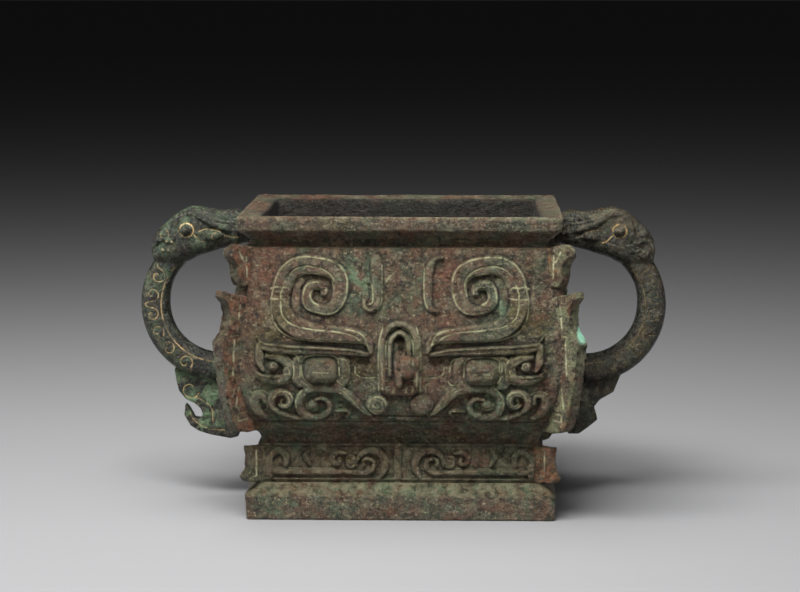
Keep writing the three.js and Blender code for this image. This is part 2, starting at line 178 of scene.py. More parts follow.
class Relief:
    """Height of the ornament over one face, and where its lines run, in millimetres."""

    def __init__(self, low, high, pitch=0.4):
        self.low, self.pitch = np.array(low, float), pitch
        count = ((np.array(high) - self.low) / pitch).astype(int) + 1
        self.u = low[0] + pitch * np.arange(count[0])
        self.z = low[1] + pitch * np.arange(count[1])
        shape = (count[1], count[0])
        self.height = np.zeros(shape)
        self.sunk = np.zeros(shape)
        self.line = np.zeros(shape)
        self.earth = np.zeros(shape)

    def window(self, low, high):
        start = np.maximum(((low - self.low) / self.pitch).astype(int), 0)
        end = np.maximum(((high - self.low) / self.pitch).astype(int) + 2, 0)
        return slice(start[1], end[1]), slice(start[0], end[0])

    def measure(self, path, reach):
        """Each cell's distance from a path, and the share of the way along at its nearest point."""
        distance = np.full(self.height.shape, FAR)
        share = np.zeros(self.height.shape)
        path = smoothed(path)
        for i, (a, b) in enumerate(zip(path[:-1], path[1:])):
            rows, columns = self.window(np.minimum(a, b) - reach, np.maximum(a, b) + reach)
            du = self.u[columns][None, :] - a[0]
            dz = self.z[rows][:, None] - a[1]
            step = b - a
            t = np.clip((du * step[0] + dz * step[1]) / (step @ step), 0, 1)
            d = np.hypot(du - t * step[0], dz - t * step[1])
            nearer = d < distance[rows, columns]
            distance[rows, columns][nearer] = d[nearer]
            share[rows, columns][nearer] = ((i + t) / (len(path) - 1))[nearer]
        return distance, share

    def inside(self, path, half, edge):
        """Nearly one on a band and nothing off it. Its top is a little domed and its shoulder soft."""
        distance, share = self.measure(path, np.max(half) + 1)
        half = tapered(half, share)
        crown = 1 - CROWN * np.clip(distance / half, 0, 1) ** 2
        return smoothstep(0, edge, half - distance) * crown

    def band(self, path, half, rise, edge=1.3):
        self.height = np.maximum(self.height, rise * self.inside(path, half, edge))

    def trough(self, path, half, depth, edge=1.0):
        self.sunk = np.maximum(self.sunk, depth * self.inside(path, half, edge))

    def cut(self, path, width=LINE, strength=1.0):
        """A thin groove, and the wider run of earth that has settled in it."""
        distance, _ = self.measure(path, 3.0)
        self.line = np.maximum(self.line, strength * np.exp(-((distance / width) ** 2)))
        self.earth = np.maximum(self.earth, strength * np.exp(-((distance / (width + 0.35)) ** 2)))

    def cushion(self, centre, half, corner, rise, edge):
        """A raised block with rounded corners and a domed top."""
        du = np.abs(self.u[None, :] - centre[0]) - (half[0] - corner)
        dz = np.abs(self.z[:, None] - centre[1]) - (half[1] - corner)
        outside = np.hypot(np.maximum(du, 0), np.maximum(dz, 0)) + np.minimum(np.maximum(du, dz), 0)
        depth = np.clip((corner - outside) / edge, 0, 1)
        self.height = np.maximum(self.height, rise * np.sqrt(1 - (1 - depth) ** 2))

    def settle(self, groove=0.5):
        """Joins height, troughs and lines, and finds where the surface is hollow or proud."""
        self.total = self.height - self.sunk - groove * self.line
        shape = self.height - self.sunk
        near, wide = (blurred(shape, int(reach / self.pitch)) for reach in (0.9, 2.4))
        self.cavity = (shape - near) + 0.45 * (shape - wide)
        return self

    def sample(self, field, u, z):
        """The field's value at each place, blended between the cells around it."""
        i = np.clip((u - self.low[0]) / self.pitch, 0, field.shape[1] - 1.001)
        j = np.clip((z - self.low[1]) / self.pitch, 0, field.shape[0] - 1.001)
        i0, j0 = i.astype(int), j.astype(int)
        a, b = i - i0, j - j0
        low = field[j0, i0] * (1 - a) + field[j0, i0 + 1] * a
        high = field[j0 + 1, i0] * (1 - a) + field[j0 + 1, i0 + 1] * a
        return low * (1 - b) + high * b


# %% Drawing on one half of a face
class Carver:
    """Draws on one half of a relief, on its own side."""

    def __init__(self, relief, side):
        self.relief, self.side = relief, side

    def path(self, points):
        return self.side(smoothed(points))

    def band(self, points, *form):
        self.relief.band(self.path(points), *form)

    def trough(self, points, *form):
        self.relief.trough(self.path(points), *form)

    def cut(self, points, *form):
        self.relief.cut(self.path(points), *form)

    def fill(self, points, *form):
        """Takes a trough away again along a path."""
        self.relief.sunk *= 1 - self.relief.inside(self.path(points), *form)

    def cushion(self, centre, *form):
        self.relief.cushion(self.side([centre])[0], *form)


# %% [markdown]
# The front carries a taotie, a beast's mask split down the middle: horns that coil, a straight brow, ears
# that turn under, bulging eyes, a tall nose with round nostrils, and a jaw of scrolls. Each half mirrors
# the other, but the carver's hand shows: the quills beside the nose differ, and the right side is worn.

# %% Horns
MASK_RISE = 2.6
HORN_CENTRE = (49.2, 140.8)
HORN_SQUARE = 0.09
HORN_OUTER = [29.4, 23.0, 18.6, 13.0, 10.6, 8.4, 6.0]
HORN_INNER = [16.4, 10.2, 8.2, 6.2, 3.0, 1.7, 1.0]
HORN_RIB = [22.6, 15.6, 8.9]
HORN_STEM = [(17.2, 105.6), (18.6, 111), (23.4, 115), (34, 116.4), (48, 117.2), (58, 119), (65.6, 123.2),
             (70.2, 129), (72.1, 135)]
HORN_STEM_HALF = [1.6, 3.6, 4.9, 5.3, 5.8, 6.4, 6.9, 6.8, 6.5]


def horn(carve):
    outer, inner = np.array(HORN_OUTER), np.array(HORN_INNER)
    middle = coil(HORN_CENTRE, (outer + inner) / 2, square=HORN_SQUARE)
    half = (outer - inner) / 2
    carve.band(middle, (*half,), MASK_RISE)
    stem = curve([*HORN_STEM, tuple(middle[0])])
    carve.band(stem, (*HORN_STEM_HALF, half[0]), MASK_RISE)
    carve.trough(coil(HORN_CENTRE, HORN_RIB, square=HORN_SQUARE), 0.8, 0.5, 0.8)
    carve.trough(stem[6:], 0.8, 0.5, 0.8)
    carve.cut(coil(HORN_CENTRE, outer - 1.6, square=HORN_SQUARE))
    carve.cut(coil(HORN_CENTRE, HORN_RIB, square=HORN_SQUARE), FINE_LINE)
    carve.cut(coil(HORN_CENTRE, [6.7, 4.8, 2.6, 2.0], 270), FINE_LINE)
    carve.cut(coil(HORN_CENTRE, [15.9, 11.0, 8.6], 14, square=HORN_SQUARE), FINE_LINE)
    carve.band([(62.4, 127.6), (62.6, 136), (62.4, 143), (60, 148)], 2.8, 1.5)
    carve.cut([(20, 110.9), (35, 111.9), (52, 112.5), (63, 113.8), (70.8, 117.2), (75.8, 123.4), (77.8, 132),
               (77.2, 141)], FINE_LINE)
    carve.cut([(72, 141), (71.4, 130), (68.6, 125), (62, 121.4), (50, 119.2), (38, 118.2), (28, 115.8),
        (22.8, 111.8)])
    carve.cut([(33, 119.8), (25, 118), (20.6, 114), (18.8, 107)])
    carve.trough([(66.8, 140), (66.2, 133.4), (63.0, 128.2)], (1.2, 1.2, 0.6), 1.4)
    collar(carve)


def collar(carve):
    """The band tied round each horn, with a row of two knobs."""
    carve.trough([(68.0, 141.3), (76.8, 141.3)], 2.6, 0.7)
    for knob in (69.9, 74.2):
        carve.fill([(knob, 141.5), (knob + 0.4, 141.5)], 1.2, 0.8)
    carve.cut([(66.4, 142.6), (68.6, 144.8), (71.6, 144.2), (74.6, 145), (78.4, 143.6)], 0.4)
    carve.cut([(66.6, 138), (72, 137.4), (78.6, 137.8)], 0.4)
    carve.cut([(67.4, 139.9), (77.6, 139.9)], 0.3, 0.6)


# %% Brows, ears and eyes
def brow(carve):
    """A long ledge. It stands out most along its top and turns down beside the ear."""
    carve.band([(19, 104), (30, 105.4), (48, 106.3), (64, 107), (77, 108), (84, 109.6)],
        (1.2, 2.2, 2.7, 2.9, 3.1, 2.8), MASK_RISE + 0.2, 0.9)
    carve.band([(18.6, 104.8), (30, 107), (48, 108.2), (64, 108.9), (78, 110), (83.6, 111.6),
        (86.4, 114.8)], (0.9, 1.1, 1.2, 1.3, 1.3, 1.2, 0.6), MASK_RISE + 1.1, 0.8)
    carve.band([(85.4, 110), (84.6, 104), (84.4, 99), (82.6, 94.6)], (1.8, 3.0, 2.9, 1.6), MASK_RISE + 0.2)


def ear(carve):
    carve.band([(80, 103), (73, 102), (68.2, 98.8), (67.2, 93.8), (69.2, 89.9), (75, 88.9), (82, 89.9),
        (87.4, 92.4)], (1.8, 3.0, 3.4, 3.4, 3.3, 3.0, 2.6, 1.0), MASK_RISE)
    carve.band([(72, 91.2), (77, 90.9), (83, 91.6), (88, 94)], (0.7, 1.0, 1.0, 0.5), MASK_RISE + 0.7, 0.7)
    carve.cushion((76.4, 97.4), (3.2, 3.4), 2.6, MASK_RISE - 0.6, 1.8)
    carve.cut(coil((76.4, 97.4), [2.4, 2.0, 1.4], 200, -90), FINE_LINE)
    carve.cut([(81, 104.4), (77, 105.2), (72, 104.7), (67.4, 102.6), (64.7, 99), (63.8, 94.4),
        (64.6, 89.4), (67.4, 86.8), (74, 86), (80, 86.7), (84, 88.5), (87.4, 90.8)])
    carve.cut(coil((67.9, 94.2), [2.4, 2.2, 1.8, 1.2], 90, -110), FINE_LINE)


def eye(carve, centre):
    """A cushion with a slit pupil, in a socket whose rim sweeps to the canthus."""
    u, z = centre
    carve.cushion((u, z - 0.4), (17.6, 10.4), 6, MASK_RISE - 0.7, 1.2)
    carve.trough([(u - 3.6, z), (u + 3.6, z)], 10.6, 1.3, 1.6)
    carve.cushion(centre, (10.1, 8.2), 5.6, 6.2, 5.6)
    carve.trough([(u - 4.6, z - 0.6), (u + 4.6, z - 0.4)], 1.3, 1.2, 0.8)
    carve.cut([(u - 4.4, z - 0.9), (u + 4.4, z - 0.7)], 0.6)
    rim = 11.8
    carve.cut([(u + 5, z - 10), (u + rim - 1.4, z - 5), (u + rim, z + 1), (u + rim - 0.6, z + 6.4),
        (u + 6, z + 9), (u - 5, z + 9), (u - rim + 1.6, z + 6.8), (u - rim + 0.6, z - 3)], 0.4)
    carve.cut([(64, 104.4), (61.4, 102.4), (60.2, 97), (60.2, 91)], WIDE_LINE)
    carve.cut([(37.6, 102.2), (33.8, 101.8), (31.2, 99.2), (30.2, 93.5)], FINE_LINE)
    carve.cut([(38, 88.2), (34.6, 86), (31, 85.6), (29.4, 87.8)], FINE_LINE)


def quill(carve, straight):
    """The upright bar between horn and nose. One curls at its foot, the other is worn straight."""
    if straight:
        carve.band([(25.5, 162.4), (21, 161), (18, 156), (17, 148), (16.8, 139), (17.4, 133.4),
            (20.4, 130.4), (24, 130.2)], (1.4, 2.4, 3.0, 3.1, 3.1, 2.8, 2.3, 1.3), MASK_RISE - 0.4)
        carve.cut([(14.8, 156), (14.6, 146), (15, 137), (17, 132)], 0.45)
        return
    carve.band([(14.6, 161.6), (13.8, 150), (13.2, 139), (14.4, 133), (17.8, 130.6), (21, 132.6),
        (21.4, 136.6)], (3.4, 4.1, 3.5, 2.9, 2.5, 2.1, 1.4), MASK_RISE)
    carve.trough([(18.6, 145.6), (18.2, 139), (19.2, 135.6)], (1.7, 1.6, 0.7), 1.1)
    carve.cut([(16.8, 146.4), (16.2, 138), (17, 134.8), (20, 134)], 0.45)
    carve.cut([(10.9, 158), (10.6, 140), (12, 133.4), (16, 129.8)], 0.45)


# %% Nose, cheeks and jaw
def nose(relief):
    """Two arches, one inside the other, over a worn and broken ridge."""
    relief.cushion((0, 96), (12, 17), 5, 1.5, 1.6)
    relief.band([(-9.8, 84), (-10.2, 96), (-10.6, 106), (-9.6, 115), (-5.5, 121), (0, 122.8),
        (5.5, 121), (9.6, 115), (10.6, 106), (10.2, 96), (9.8, 86)], 2.6, 3.0, 1.4)
    relief.band([(-5.6, 92), (-5.8, 107), (-4.6, 114), (0, 117.4), (4.6, 114), (5.8, 107), (5.6, 94)],
        (1.8, 2.4, 2.6, 2.4, 1.4), 4.0, 1.8)
    relief.band([(0, 86), (0, 103)], (4.0, 5.6), 4.6, 3.6)
    relief.trough(curve([(0.6, 114), (0.8, 106)]), (3.0, 2.6), 1.9, 1.8)
    relief.cushion((4, 97), (5.6, 8), 5, 5.4, 4.4)
    for side in (-1, 1):
        relief.cut([(side * 12.6, 82), (side * 12.9, 100), (side * 12.4, 112), (side * 10, 121)], 0.4)
        relief.cut([(side * 8, 98), (side * 8.2, 110), (side * 5.4, 118), (side * 1.5, 120)], 0.4)
    relief.cut([(-4.4, 80.6), (-2.2, 84.6), (2.2, 84.6), (4.4, 80.6)], 0.4)


def cheek(carve):
    carve.trough([(20.5, 100.3), (23.5, 100.3)], 3.4, 0.9, 1.2)
    carve.cut([(27, 97), (26.4, 92.4), (21.4, 90), (13, 90.2)])
    carve.cut([(10.6, 99.5), (10.6, 82)])
    carve.cut([(10.6, 95.6), (7, 96.2), (4.4, 95)], 0.45)
    carve.cut(curve([(10.6, 88.6), (7, 88.4)]), 0.45)
    carve.cut([(3.4, 81), (5, 84.8), (8.2, 84.2), (7.4, 81)], 0.45)
    carve.cut([(18, 86.8), (15.8, 85), (16, 80.4)], 0.45)


def nostril(carve, worn):
    centre = carve.side([(13.6, 72.9)])[0]
    carve.relief.cushion(centre, (6.9, 6.7), 6.6, 2.6 + worn, 3.4)
    if not worn:
        carve.relief.cut(coil(centre, [5.4, 5.4, 5.4, 5.4, 5.4]), WIDE_LINE)
        carve.relief.cut(coil(centre, [3.0, 2.8, 2.4, 1.8, 1.0]), WIDE_LINE)


def jaw(carve):
    """Under the eye: a leaf, a small scroll, the great scroll and a hook, from the corner inwards."""
    rise = MASK_RISE - 0.5
    carve.band([(81, 65), (85.4, 67.4), (88, 72.4), (87.2, 77.4), (83.4, 78.4), (81.6, 75)],
        (2.0, 3.2, 3.6, 3.4, 2.8, 2.0), rise)
    carve.band(coil((71.4, 75), [6.9, 6.7, 6.2, 5.8, 4.8, 3.6, 2.6], -70, 62),
        (2.0, 2.8, 3.0, 3.0, 2.6, 2.0, 1.7), rise)
    carve.band([(59, 64.2), (66, 65.2), (72.6, 67.8)], (1.2, 2.2, 2.4), rise)
    carve.cut([(87, 74.4), (84.4, 75.6), (81, 74.6), (80.4, 70)], FINE_LINE)
    carve.cut(coil((70.6, 75.2), [4.4, 4.0, 3.0, 1.8, 1.0], 60, 90), FINE_LINE)
    carve.band([(17.4, 66.4), (22, 69.4), (27, 75), (31.4, 79.6), (37, 82.6), (46, 83.4), (55, 82.6),
        (60, 78.6), (61.2, 72), (58, 66.6), (50, 65.2), (43.6, 68.4), (42.8, 74), (46.4, 77.2),
        (51, 76.4)], (1.6, 2.6, 3.4, 3.6, 3.3, 2.9, 2.8, 3.0, 3.2, 3.1, 2.9, 2.7, 2.4, 2.0, 1.4), rise)
    carve.cut([(60.4, 66), (62.6, 70.6), (62.8, 76), (60.2, 81), (57, 84.4)], FINE_LINE)
    carve.cut(coil((50.4, 73.6), [8.2, 8.0, 7.6, 7.0], 150, -80), 0.3, 0.7)
    carve.cushion((52.4, 73.2), (3.6, 3.0), 2.9, 1.8, 2.2)
    carve.band([(39, 69), (34, 69.6), (30.6, 68.6), (32.4, 65.2)], (1.2, 1.6, 1.6, 1.1), rise)
    carve.cut([(89.6, 80), (86.4, 81.6), (82, 81.4), (79.4, 79.6)], WIDE_LINE)
    carve.cut([(77.2, 76), (75, 80), (71, 81.6), (67, 80.6), (64.8, 77)], WIDE_LINE)
    carve.cut([(20.6, 66.8), (25, 71.6), (29.6, 77.4), (34.6, 82), (40, 84.2)], WIDE_LINE)
    carve.cut([(56.8, 74), (56, 70.8), (52, 69.6), (48, 71)], 0.55)


# %% The whole front
def mask(worn_right):
    relief = Relief((-92, 58), (92, 168))
    left, right = Carver(relief, flip), Carver(relief, np.asarray)
    for carve in (left, right):
        horn(carve)
        brow(carve)
        ear(carve)
        cheek(carve)
        jaw(carve)
    quill(left, False)
    quill(right, worn_right)
    eye(left, (47.6, 94.6))
    eye(right, (50, 93.6))
    nostril(left, 0)
    nostril(right, 0.6 if worn_right else 0)
    nose(relief)
    relief.trough([(-88, 61.6), (88, 61.6)], 0.8, 1.0, 0.7)
    if worn_right:
        relief.trough([(-17, 65.6), (35, 65.2)], 0.7, 0.9, 0.6)
        relief.trough([(84, 76.8), (84.4, 76.6)], 2.0, 2.6, 1.2)
        relief.cut(curve([(-8.4, 147.6), (-6.6, 150.4), (-3, 153.2)]), 0.7)
    return relief.settle()


front_relief = mask(True)
back_relief = mask(False)
print("front relief from", front_relief.total.min().round(2), "to", front_relief.total.max().round(2), "mm")

# %% Side panels and foot bands
def side_panel():
    """The plainer ends of the vessel, beside each handle."""
    relief = Relief((-74, 58), (74, 168))
    for side in (flip, np.asarray):
        carve = Carver(relief, side)
        carve.band(coil((40, 139), [20, 15.6, 12, 8.6, 6, 3.6, 2]), (4.4, 3.2, 2.0), MASK_RISE)
        carve.band([(17, 110), (30, 115), (46, 116), (57, 121), (60, 131), (60, 139)],
            (2.0, 4.0, 5.0, 5.2, 4.8, 4.4), MASK_RISE)
        carve.cut(coil((40, 139), [21.6, 16.8, 12.8, 9.4, 6.6, 4.2]))
        carve.cut([(19, 108), (30, 112.6), (47, 113.4), (59, 119), (63, 131)])
        carve.band([(18, 104.5), (40, 106), (62, 107), (66, 101)], 2.4, MASK_RISE + 0.6)
        carve.cushion((40, 92.5), (8.5, 7), 5, 5.0, 5.4)
        carve.trough([(36.5, 92.2), (43.5, 92.2)], 1.1, 1.2, 0.9)
        carve.cut([(52, 84), (54, 92), (50, 101), (36, 102), (28, 99), (26.6, 92)])
        carve.band(coil((54, 75), [8.4, 7.4, 6.4, 4.6, 2.6], -60, 90), (2.8, 2.2, 1.8), 1.9)
        carve.band([(18, 67), (26, 74), (34, 80.6), (42, 82)], (1.4, 2.3, 2.0), 1.9)
    return relief.settle()


KUI_RISE = 2.3
KUI_EDGE = 0.8
FRONT_HALF = 88
END_HALF = 68
END_SQUEEZE = 0.78


def kui(carve, fine):
    """A kui dragon: a hooked head at the corner, a level body, and a tail that coils under an arch."""
    carve.band([(80.2, 26.3), (80.4, 36), (78, 40), (73.8, 41.5), (70.6, 38.6), (70.3, 32.8)],
        (2.2, 2.3, 2.3, 2.3, 2.4, 1.6), KUI_RISE, KUI_EDGE)
    carve.band([(77.5, 28.6), (58, 28.6), (33.4, 28.6), (25.1, 28), (19.2, 28.4), (16.2, 31.6),
        (17, 35.5), (20.2, 37), (22.8, 35.4), (22.4, 32.8)],
        (2.0, 2.3, 2.3, 2.3, 2.2, 2.0, 1.9, 1.7, 1.6, 1.3), KUI_RISE, KUI_EDGE)
    carve.band([(26.6, 32.6), (26.3, 36.2), (23.4, 40.2), (17.9, 42), (12.4, 40.2), (9.4, 35),
        (9.8, 29.7), (12, 25.8)], (1.1, 1.6, 2.2, 2.4, 2.6, 2.7, 2.3, 1.3), KUI_RISE, KUI_EDGE)
    carve.cut([(30, 30.9), (76, 30.9)], FINE_LINE, 0.75)
    carve.cut([(82.8, 27), (83, 36), (80.4, 41.6), (74, 44)], FINE_LINE, 0.7)
    carve.cut([(78, 31.4), (77.8, 36), (75.4, 38.6), (73.2, 37)], FINE_LINE, 0.7)
    if fine:
        carve.band([(56.2, 41.8), (58.2, 38.1), (55.6, 33)], (1.0, 2.3, 1.1), KUI_RISE - 0.2, KUI_EDGE)
        carve.band([(33.4, 40.3), (38.6, 40.7), (41.8, 37.6), (40.1, 33.8), (36.8, 34.2), (37.4, 37.2)],
            (1.1, 1.7, 2.0, 1.8, 1.5, 1.0), KUI_RISE - 0.2, KUI_EDGE)
        carve.cushion((30.2, 35), (3.4, 4.4), 3.3, 2.6, 1.4)
        carve.trough(coil((30.2, 35), [1.9, 2.4, 1.9, 2.4, 1.9]), 0.5, 1.0, 0.5)
    else:
        carve.band(coil((46, 37), [4.4, 4.0, 3.4, 2.6, 1.8], -60, 90), (1.8, 1.2), 2.0, 0.8)


def foot_band(fine, half):
    """Two dragons face away from a bar at the middle. At the ends of the vessel they are shorter."""
    relief = Relief((-half, 22), (half, 47))
    squeeze = 1 if half == FRONT_HALF else END_SQUEEZE
    for sign in (-1, 1):
        kui(Carver(relief, lambda path, sign=sign: np.asarray(path) * (sign * squeeze, 1)), fine)
    edge = half - 2.6
    for bar, bar_half in ((-1.6, 2.3), (-edge, 2.0), (edge, 2.0)):
        relief.band([(bar, 22), (bar, 46)], bar_half, 2.0, 0.9)
    relief.band([(-half, 24.2), (half, 24.2)], 0.9, 1.3, 0.7)
    relief.trough([(-half, 22.8), (half, 22.8)], 0.5, 1.2, 0.5)
    relief.band([(-half, 45.6), (half, 45.6)], 1.0, 1.8, 0.8)
    return relief.settle()


side_relief = side_panel()
foot_front = foot_band(True, FRONT_HALF)
foot_back = foot_band(False, FRONT_HALF)
foot_side = foot_band(False, END_HALF)

# %% [markdown]
# The wall is drawn as one line in section, from under the floor, up the outside, over the lip and down to
# the floor again. Carried round a rectangle it gives the body. The depth is always less than the length
# by the same amount, so the wall is as thick at the ends as at the front. The rows lie closest where the
# ornament is.

# %% Wrapping a section round the vessel
CORNER = 2.5
FRONT_WIDTH = 200
END_WIDTH = 160
FRONT_STEP = 0.52
OTHER_STEP = 1.0


def columns_round():
    """Where each column stands: which way it moves with the length and the depth, and its direction."""
    front, end, back = (np.linspace(-1, 1, int(width / step)) for width, step in
                        ((FRONT_WIDTH, FRONT_STEP), (END_WIDTH, OTHER_STEP), (FRONT_WIDTH, OTHER_STEP)))
    turn = np.linspace(0, 90, 5)[1:-1]
    parts = []
    for quarter, across in enumerate((front, end, back, end)):
        heading = math.radians(-90 + 90 * quarter)
        cos, sin = round(math.cos(heading)), round(math.sin(heading))
        flat = np.column_stack([cos - sin * across, sin + cos * across, np.full(len(across), heading)])
        arc = np.column_stack([np.full(3, cos - sin), np.full(3, sin + cos), heading + np.radians(turn)])
        parts += [flat, arc]
    return np.vstack(parts)


def wrap(section, columns):
    """Points and outward directions of a section (half length, height) carried round the vessel."""
    slope = np.gradient(section, axis=0)
    normal = np.column_stack([slope[:, 1], -slope[:, 0]])
    normal /= np.linalg.norm(normal, axis=1)[:, None]
    half, z = section[:, :1], section[:, 1:]
    radius = np.minimum(CORNER, half - DEPTH_LESS)
    cx, cy, heading = columns.T
    x = cx * (half - radius) + radius * np.cos(heading)
    y = cy * (half - DEPTH_LESS - radius) + radius * np.sin(heading)
    points = np.stack([x, y, np.broadcast_to(z, x.shape)], axis=-1)
    out = np.stack([normal[:, :1] * np.cos(heading), normal[:, :1] * np.sin(heading),
                    np.broadcast_to(normal[:, 1:], x.shape)], axis=-1)
    return points, out


# %% Meshes and objects
def placed_object(name, data):
    """An object that is part of the scene."""
    thing = bpy.data.objects.new(name, data)
    bpy.context.scene.collection.objects.link(thing)
    return thing


def mesh_piece(name, points, faces):
    """An object from points in millimetres and faces."""
    mesh = bpy.data.meshes.new(name)
    mesh.from_pydata((np.asarray(points) * MM).tolist(), [], faces)
    return placed_object(name, mesh)


def sheet_faces(rows, columns, closed):
    """The faces of a sheet that is joined round its columns. If it isn't closed it has a cap at each end."""
    index = np.arange(rows * columns).reshape(rows, columns)
    upper = np.roll(index, -1, axis=0) if closed else index[1:]
    lower = index if closed else index[:-1]
    quads = np.stack([lower, np.roll(lower, -1, 1), np.roll(upper, -1, 1), upper], -1).reshape(-1, 4).tolist()
    caps = [] if closed else [index[0, ::-1].tolist(), index[-1].tolist()]
    return [*quads, *caps]


def prism(one, other):
    """The flat solid between two outlines that match point for point."""
    count = len(one)
    ring = [[i, (i + 1) % count, (i + 1) % count + count, i + count] for i in range(count)]
    return np.vstack([one, other]), [list(range(count))[::-1], list(range(count, 2 * count)), *ring]


# %% The wall's section
OUTER_WALL = [(90, 55.5), (93.3, 58.5), (96.5, 62), (99.5, 69), (101.8, 77), (103.3, 85), (104.3, 97.6),
              (103.8, 113), (102, 126), (99, 138.5), (97, 154), (95.5, 166.4)]
INNER_WALL = [(85.3, 185.3), (84.8, 178), (84.5, 168), (90, 154), (93.4, 141), (96.8, 126), (98.5, 113),
              (99, 97), (97, 80), (91, 66), (84, 60), (77, 57.2)]


def bowl_section():
    """The wall, from under the floor, up the outside, over the lip and down the inside to the floor."""
    return np.vstack([
        even([(22, 51), (77, 51), (84.8, 48.8)], 3.0),
        even([(85.4, 49.4), (87, 53), (90, 55.5)], 0.8)[:-1],
        curve(OUTER_WALL, 0.56),
        even([(94.6, 167.6), (89.8, 168.6), (89.6, 170.4), (91.2, 173), (95, 176), (97.6, 178.2)], 0.8),
        even([(98.2, 179.6), (98.8, 186.2), (98.3, 187.1), (97.4, 187.2), (86.6, 185.6)], 0.8),
        curve(INNER_WALL, 1.5),
        even([(74, 57), (22, 57)], 3.0),
    ])


def wall_half(z):
    """Half the length of the outer wall at a height, in millimetres."""
    line = np.array([(94.8, 0), (95.3, 15.5), (87, 23.5), (86, 45.6), (85.4, 46.4), (85.4, 49), (87, 53),
                     *OUTER_WALL, (89.2, 168.3), (91.2, 173), (98, 178.5), (98.8, 187.3)])
    return np.interp(z, line[:, 1], line[:, 0])


# %% Which ornament lies where
ORNAMENT_REACH = 3.4
BELLY = (58.5, 167.0)
FOOT_BAND = (22.4, 46.6)
SEAM_FROM_CORNER = 5.6
SEAM_HALF = 1.1
SEAM_DEPTH = 1.3


def seam_at(z, from_corner):
    """The joint that the mould left beside each flange, from one at its middle to nothing."""
    over = smoothstep(57, 60, z) * smoothstep(167.5, 165, z)
    return over * np.exp(-(((from_corner - SEAM_FROM_CORNER) / SEAM_HALF) ** 2))


def ornament(points):
    """Height, line and cavity of the relief at points on or near the outer wall."""
    x, y, z = points.T
    half = wall_half(z)
    to_end, to_front = np.abs(x) - half, np.abs(y) - (half - DEPTH_LESS)
    outer = np.maximum(to_end, to_front) > -ORNAMENT_REACH
    on_end = to_end > to_front
    places = [
        (front_relief, foot_front, x, outer & ~on_end & (y < 0)),
        (back_relief, foot_back, -x, outer & ~on_end & (y > 0)),
        (side_relief, foot_side, y, outer & on_end & (x > 0)),
        (side_relief, foot_side, -y, outer & on_end & (x < 0)),
    ]
    found = np.zeros((3, len(points)))
    seam = outer * seam_at(z, np.where(on_end, -to_front, -to_end))
    found[0] -= SEAM_DEPTH * seam
    found[2] -= seam
    for panel, foot, u, here in places:
        for relief, (low, high) in ((panel, BELLY), (foot, FOOT_BAND)):
            mine = here & (z > low) & (z < high)
            for k, field in enumerate((relief.total, relief.earth, relief.cavity)):
                found[k, mine] += relief.sample(field, u[mine], z[mine])
    return found


# %% [markdown]
# The years wear bronze unevenly. Each kind of change gets a mask: a noise field that decides its ragged
# shape, and a list of places where it is known to lie. Each place has its face, its centre, its reach along
# both directions and its strength. The painted sheen, and the painted light on the slope of the foot, are
# placed the same way.

# %% Places of wear, of painted sheen and of painted light
CRUST = [("front", -76, 154, 20, 16, 0.9), ("front", 18, 90, 16, 12, 1.1), ("front", 27, 140, 10, 18, 0.8),
         ("front", -10, 104, 6, 10, 0.8), ("front", 5, 97, 7, 12, 1.0), ("front", 0, 172, 80, 8, 0.35),
         ("front", 84, 104, 9, 30, 0.7), ("front", -88, 120, 8, 34, 0.6), ("left", 0, 187, 90, 3, 0.9),
         ("front", 10, 8, 40, 7, 0.5), ("front", 47, 37, 9, 7, 1.1), ("front", 0, 78, 12, 8, 0.7),
         ("front", 60, 150, 22, 12, 0.35), ("front", -30, 145, 10, 14, 0.4), ("back", 40, 100, 40, 30, 0.6),
         ("back", -50, 150, 30, 14, 0.6)]
SMOOTH = [("front", 2, 146, 11, 16, 1.6), ("front", 50, 106, 30, 5, 0.8), ("front", -50, 106, 30, 5, 0.8),
          ("front", -48, 94, 10, 8, 0.5), ("front", 50, 94, 10, 8, 0.5)]
# The entry at height 20 on the front is painted light: it makes the upward slope of the foot paler.
VERDIGRIS_AND_SLOPE_LIGHT = [("front", -60, 72, 34, 12, 0.9), ("front", 62, 72, 32, 14, 1.0), ("front", 62, 136, 6, 12, 0.9),
             ("front", -25, 150, 12, 10, 0.9), ("front", 14, 158, 8, 10, 0.7),
             ("front", -80, 90, 12, 12, 0.6), ("front", 0, 20, 95, 4, 0.5), ("front", -60, 8, 30, 10, 0.6),
             ("front", 40, 8, 50, 9, 0.35), ("back", 0, 110, 70, 40, 0.6), ("right", 0, 100, 60, 40, 0.6),
             ("left", 0, 80, 60, 30, 0.7)]
# Painted sheen: places where an olive tone stands in for the gleam of the bronze.
PAINTED_SHEEN = [("front", -72, 129, 8, 14, 1.2), ("front", 72, 127, 8, 12, 1.0), ("front", -76, 106, 14, 4, 1.3),
         ("front", 66, 105, 22, 4, 1.2), ("front", 8, 108, 6, 12, 1.2), ("front", -24, 94, 18, 9, 0.9),
         ("front", 66, 94, 12, 9, 0.9), ("front", -80, 118, 12, 14, 0.8), ("front", 84, 118, 9, 16, 0.8),
         ("front", -30, 35, 50, 8, 0.7), ("front", -40, 183, 14, 5, 1.0), ("front", 30, 50, 60, 5, 0.6),
         ("front", -47.6, 92, 9, 7, 0.5), ("front", 50, 91, 9, 7, 0.5), ("back", 0, 80, 50, 30, 0.8),
         ("left", 30, 120, 30, 30, 0.7), ("right", -30, 120, 30, 30, 0.7)]


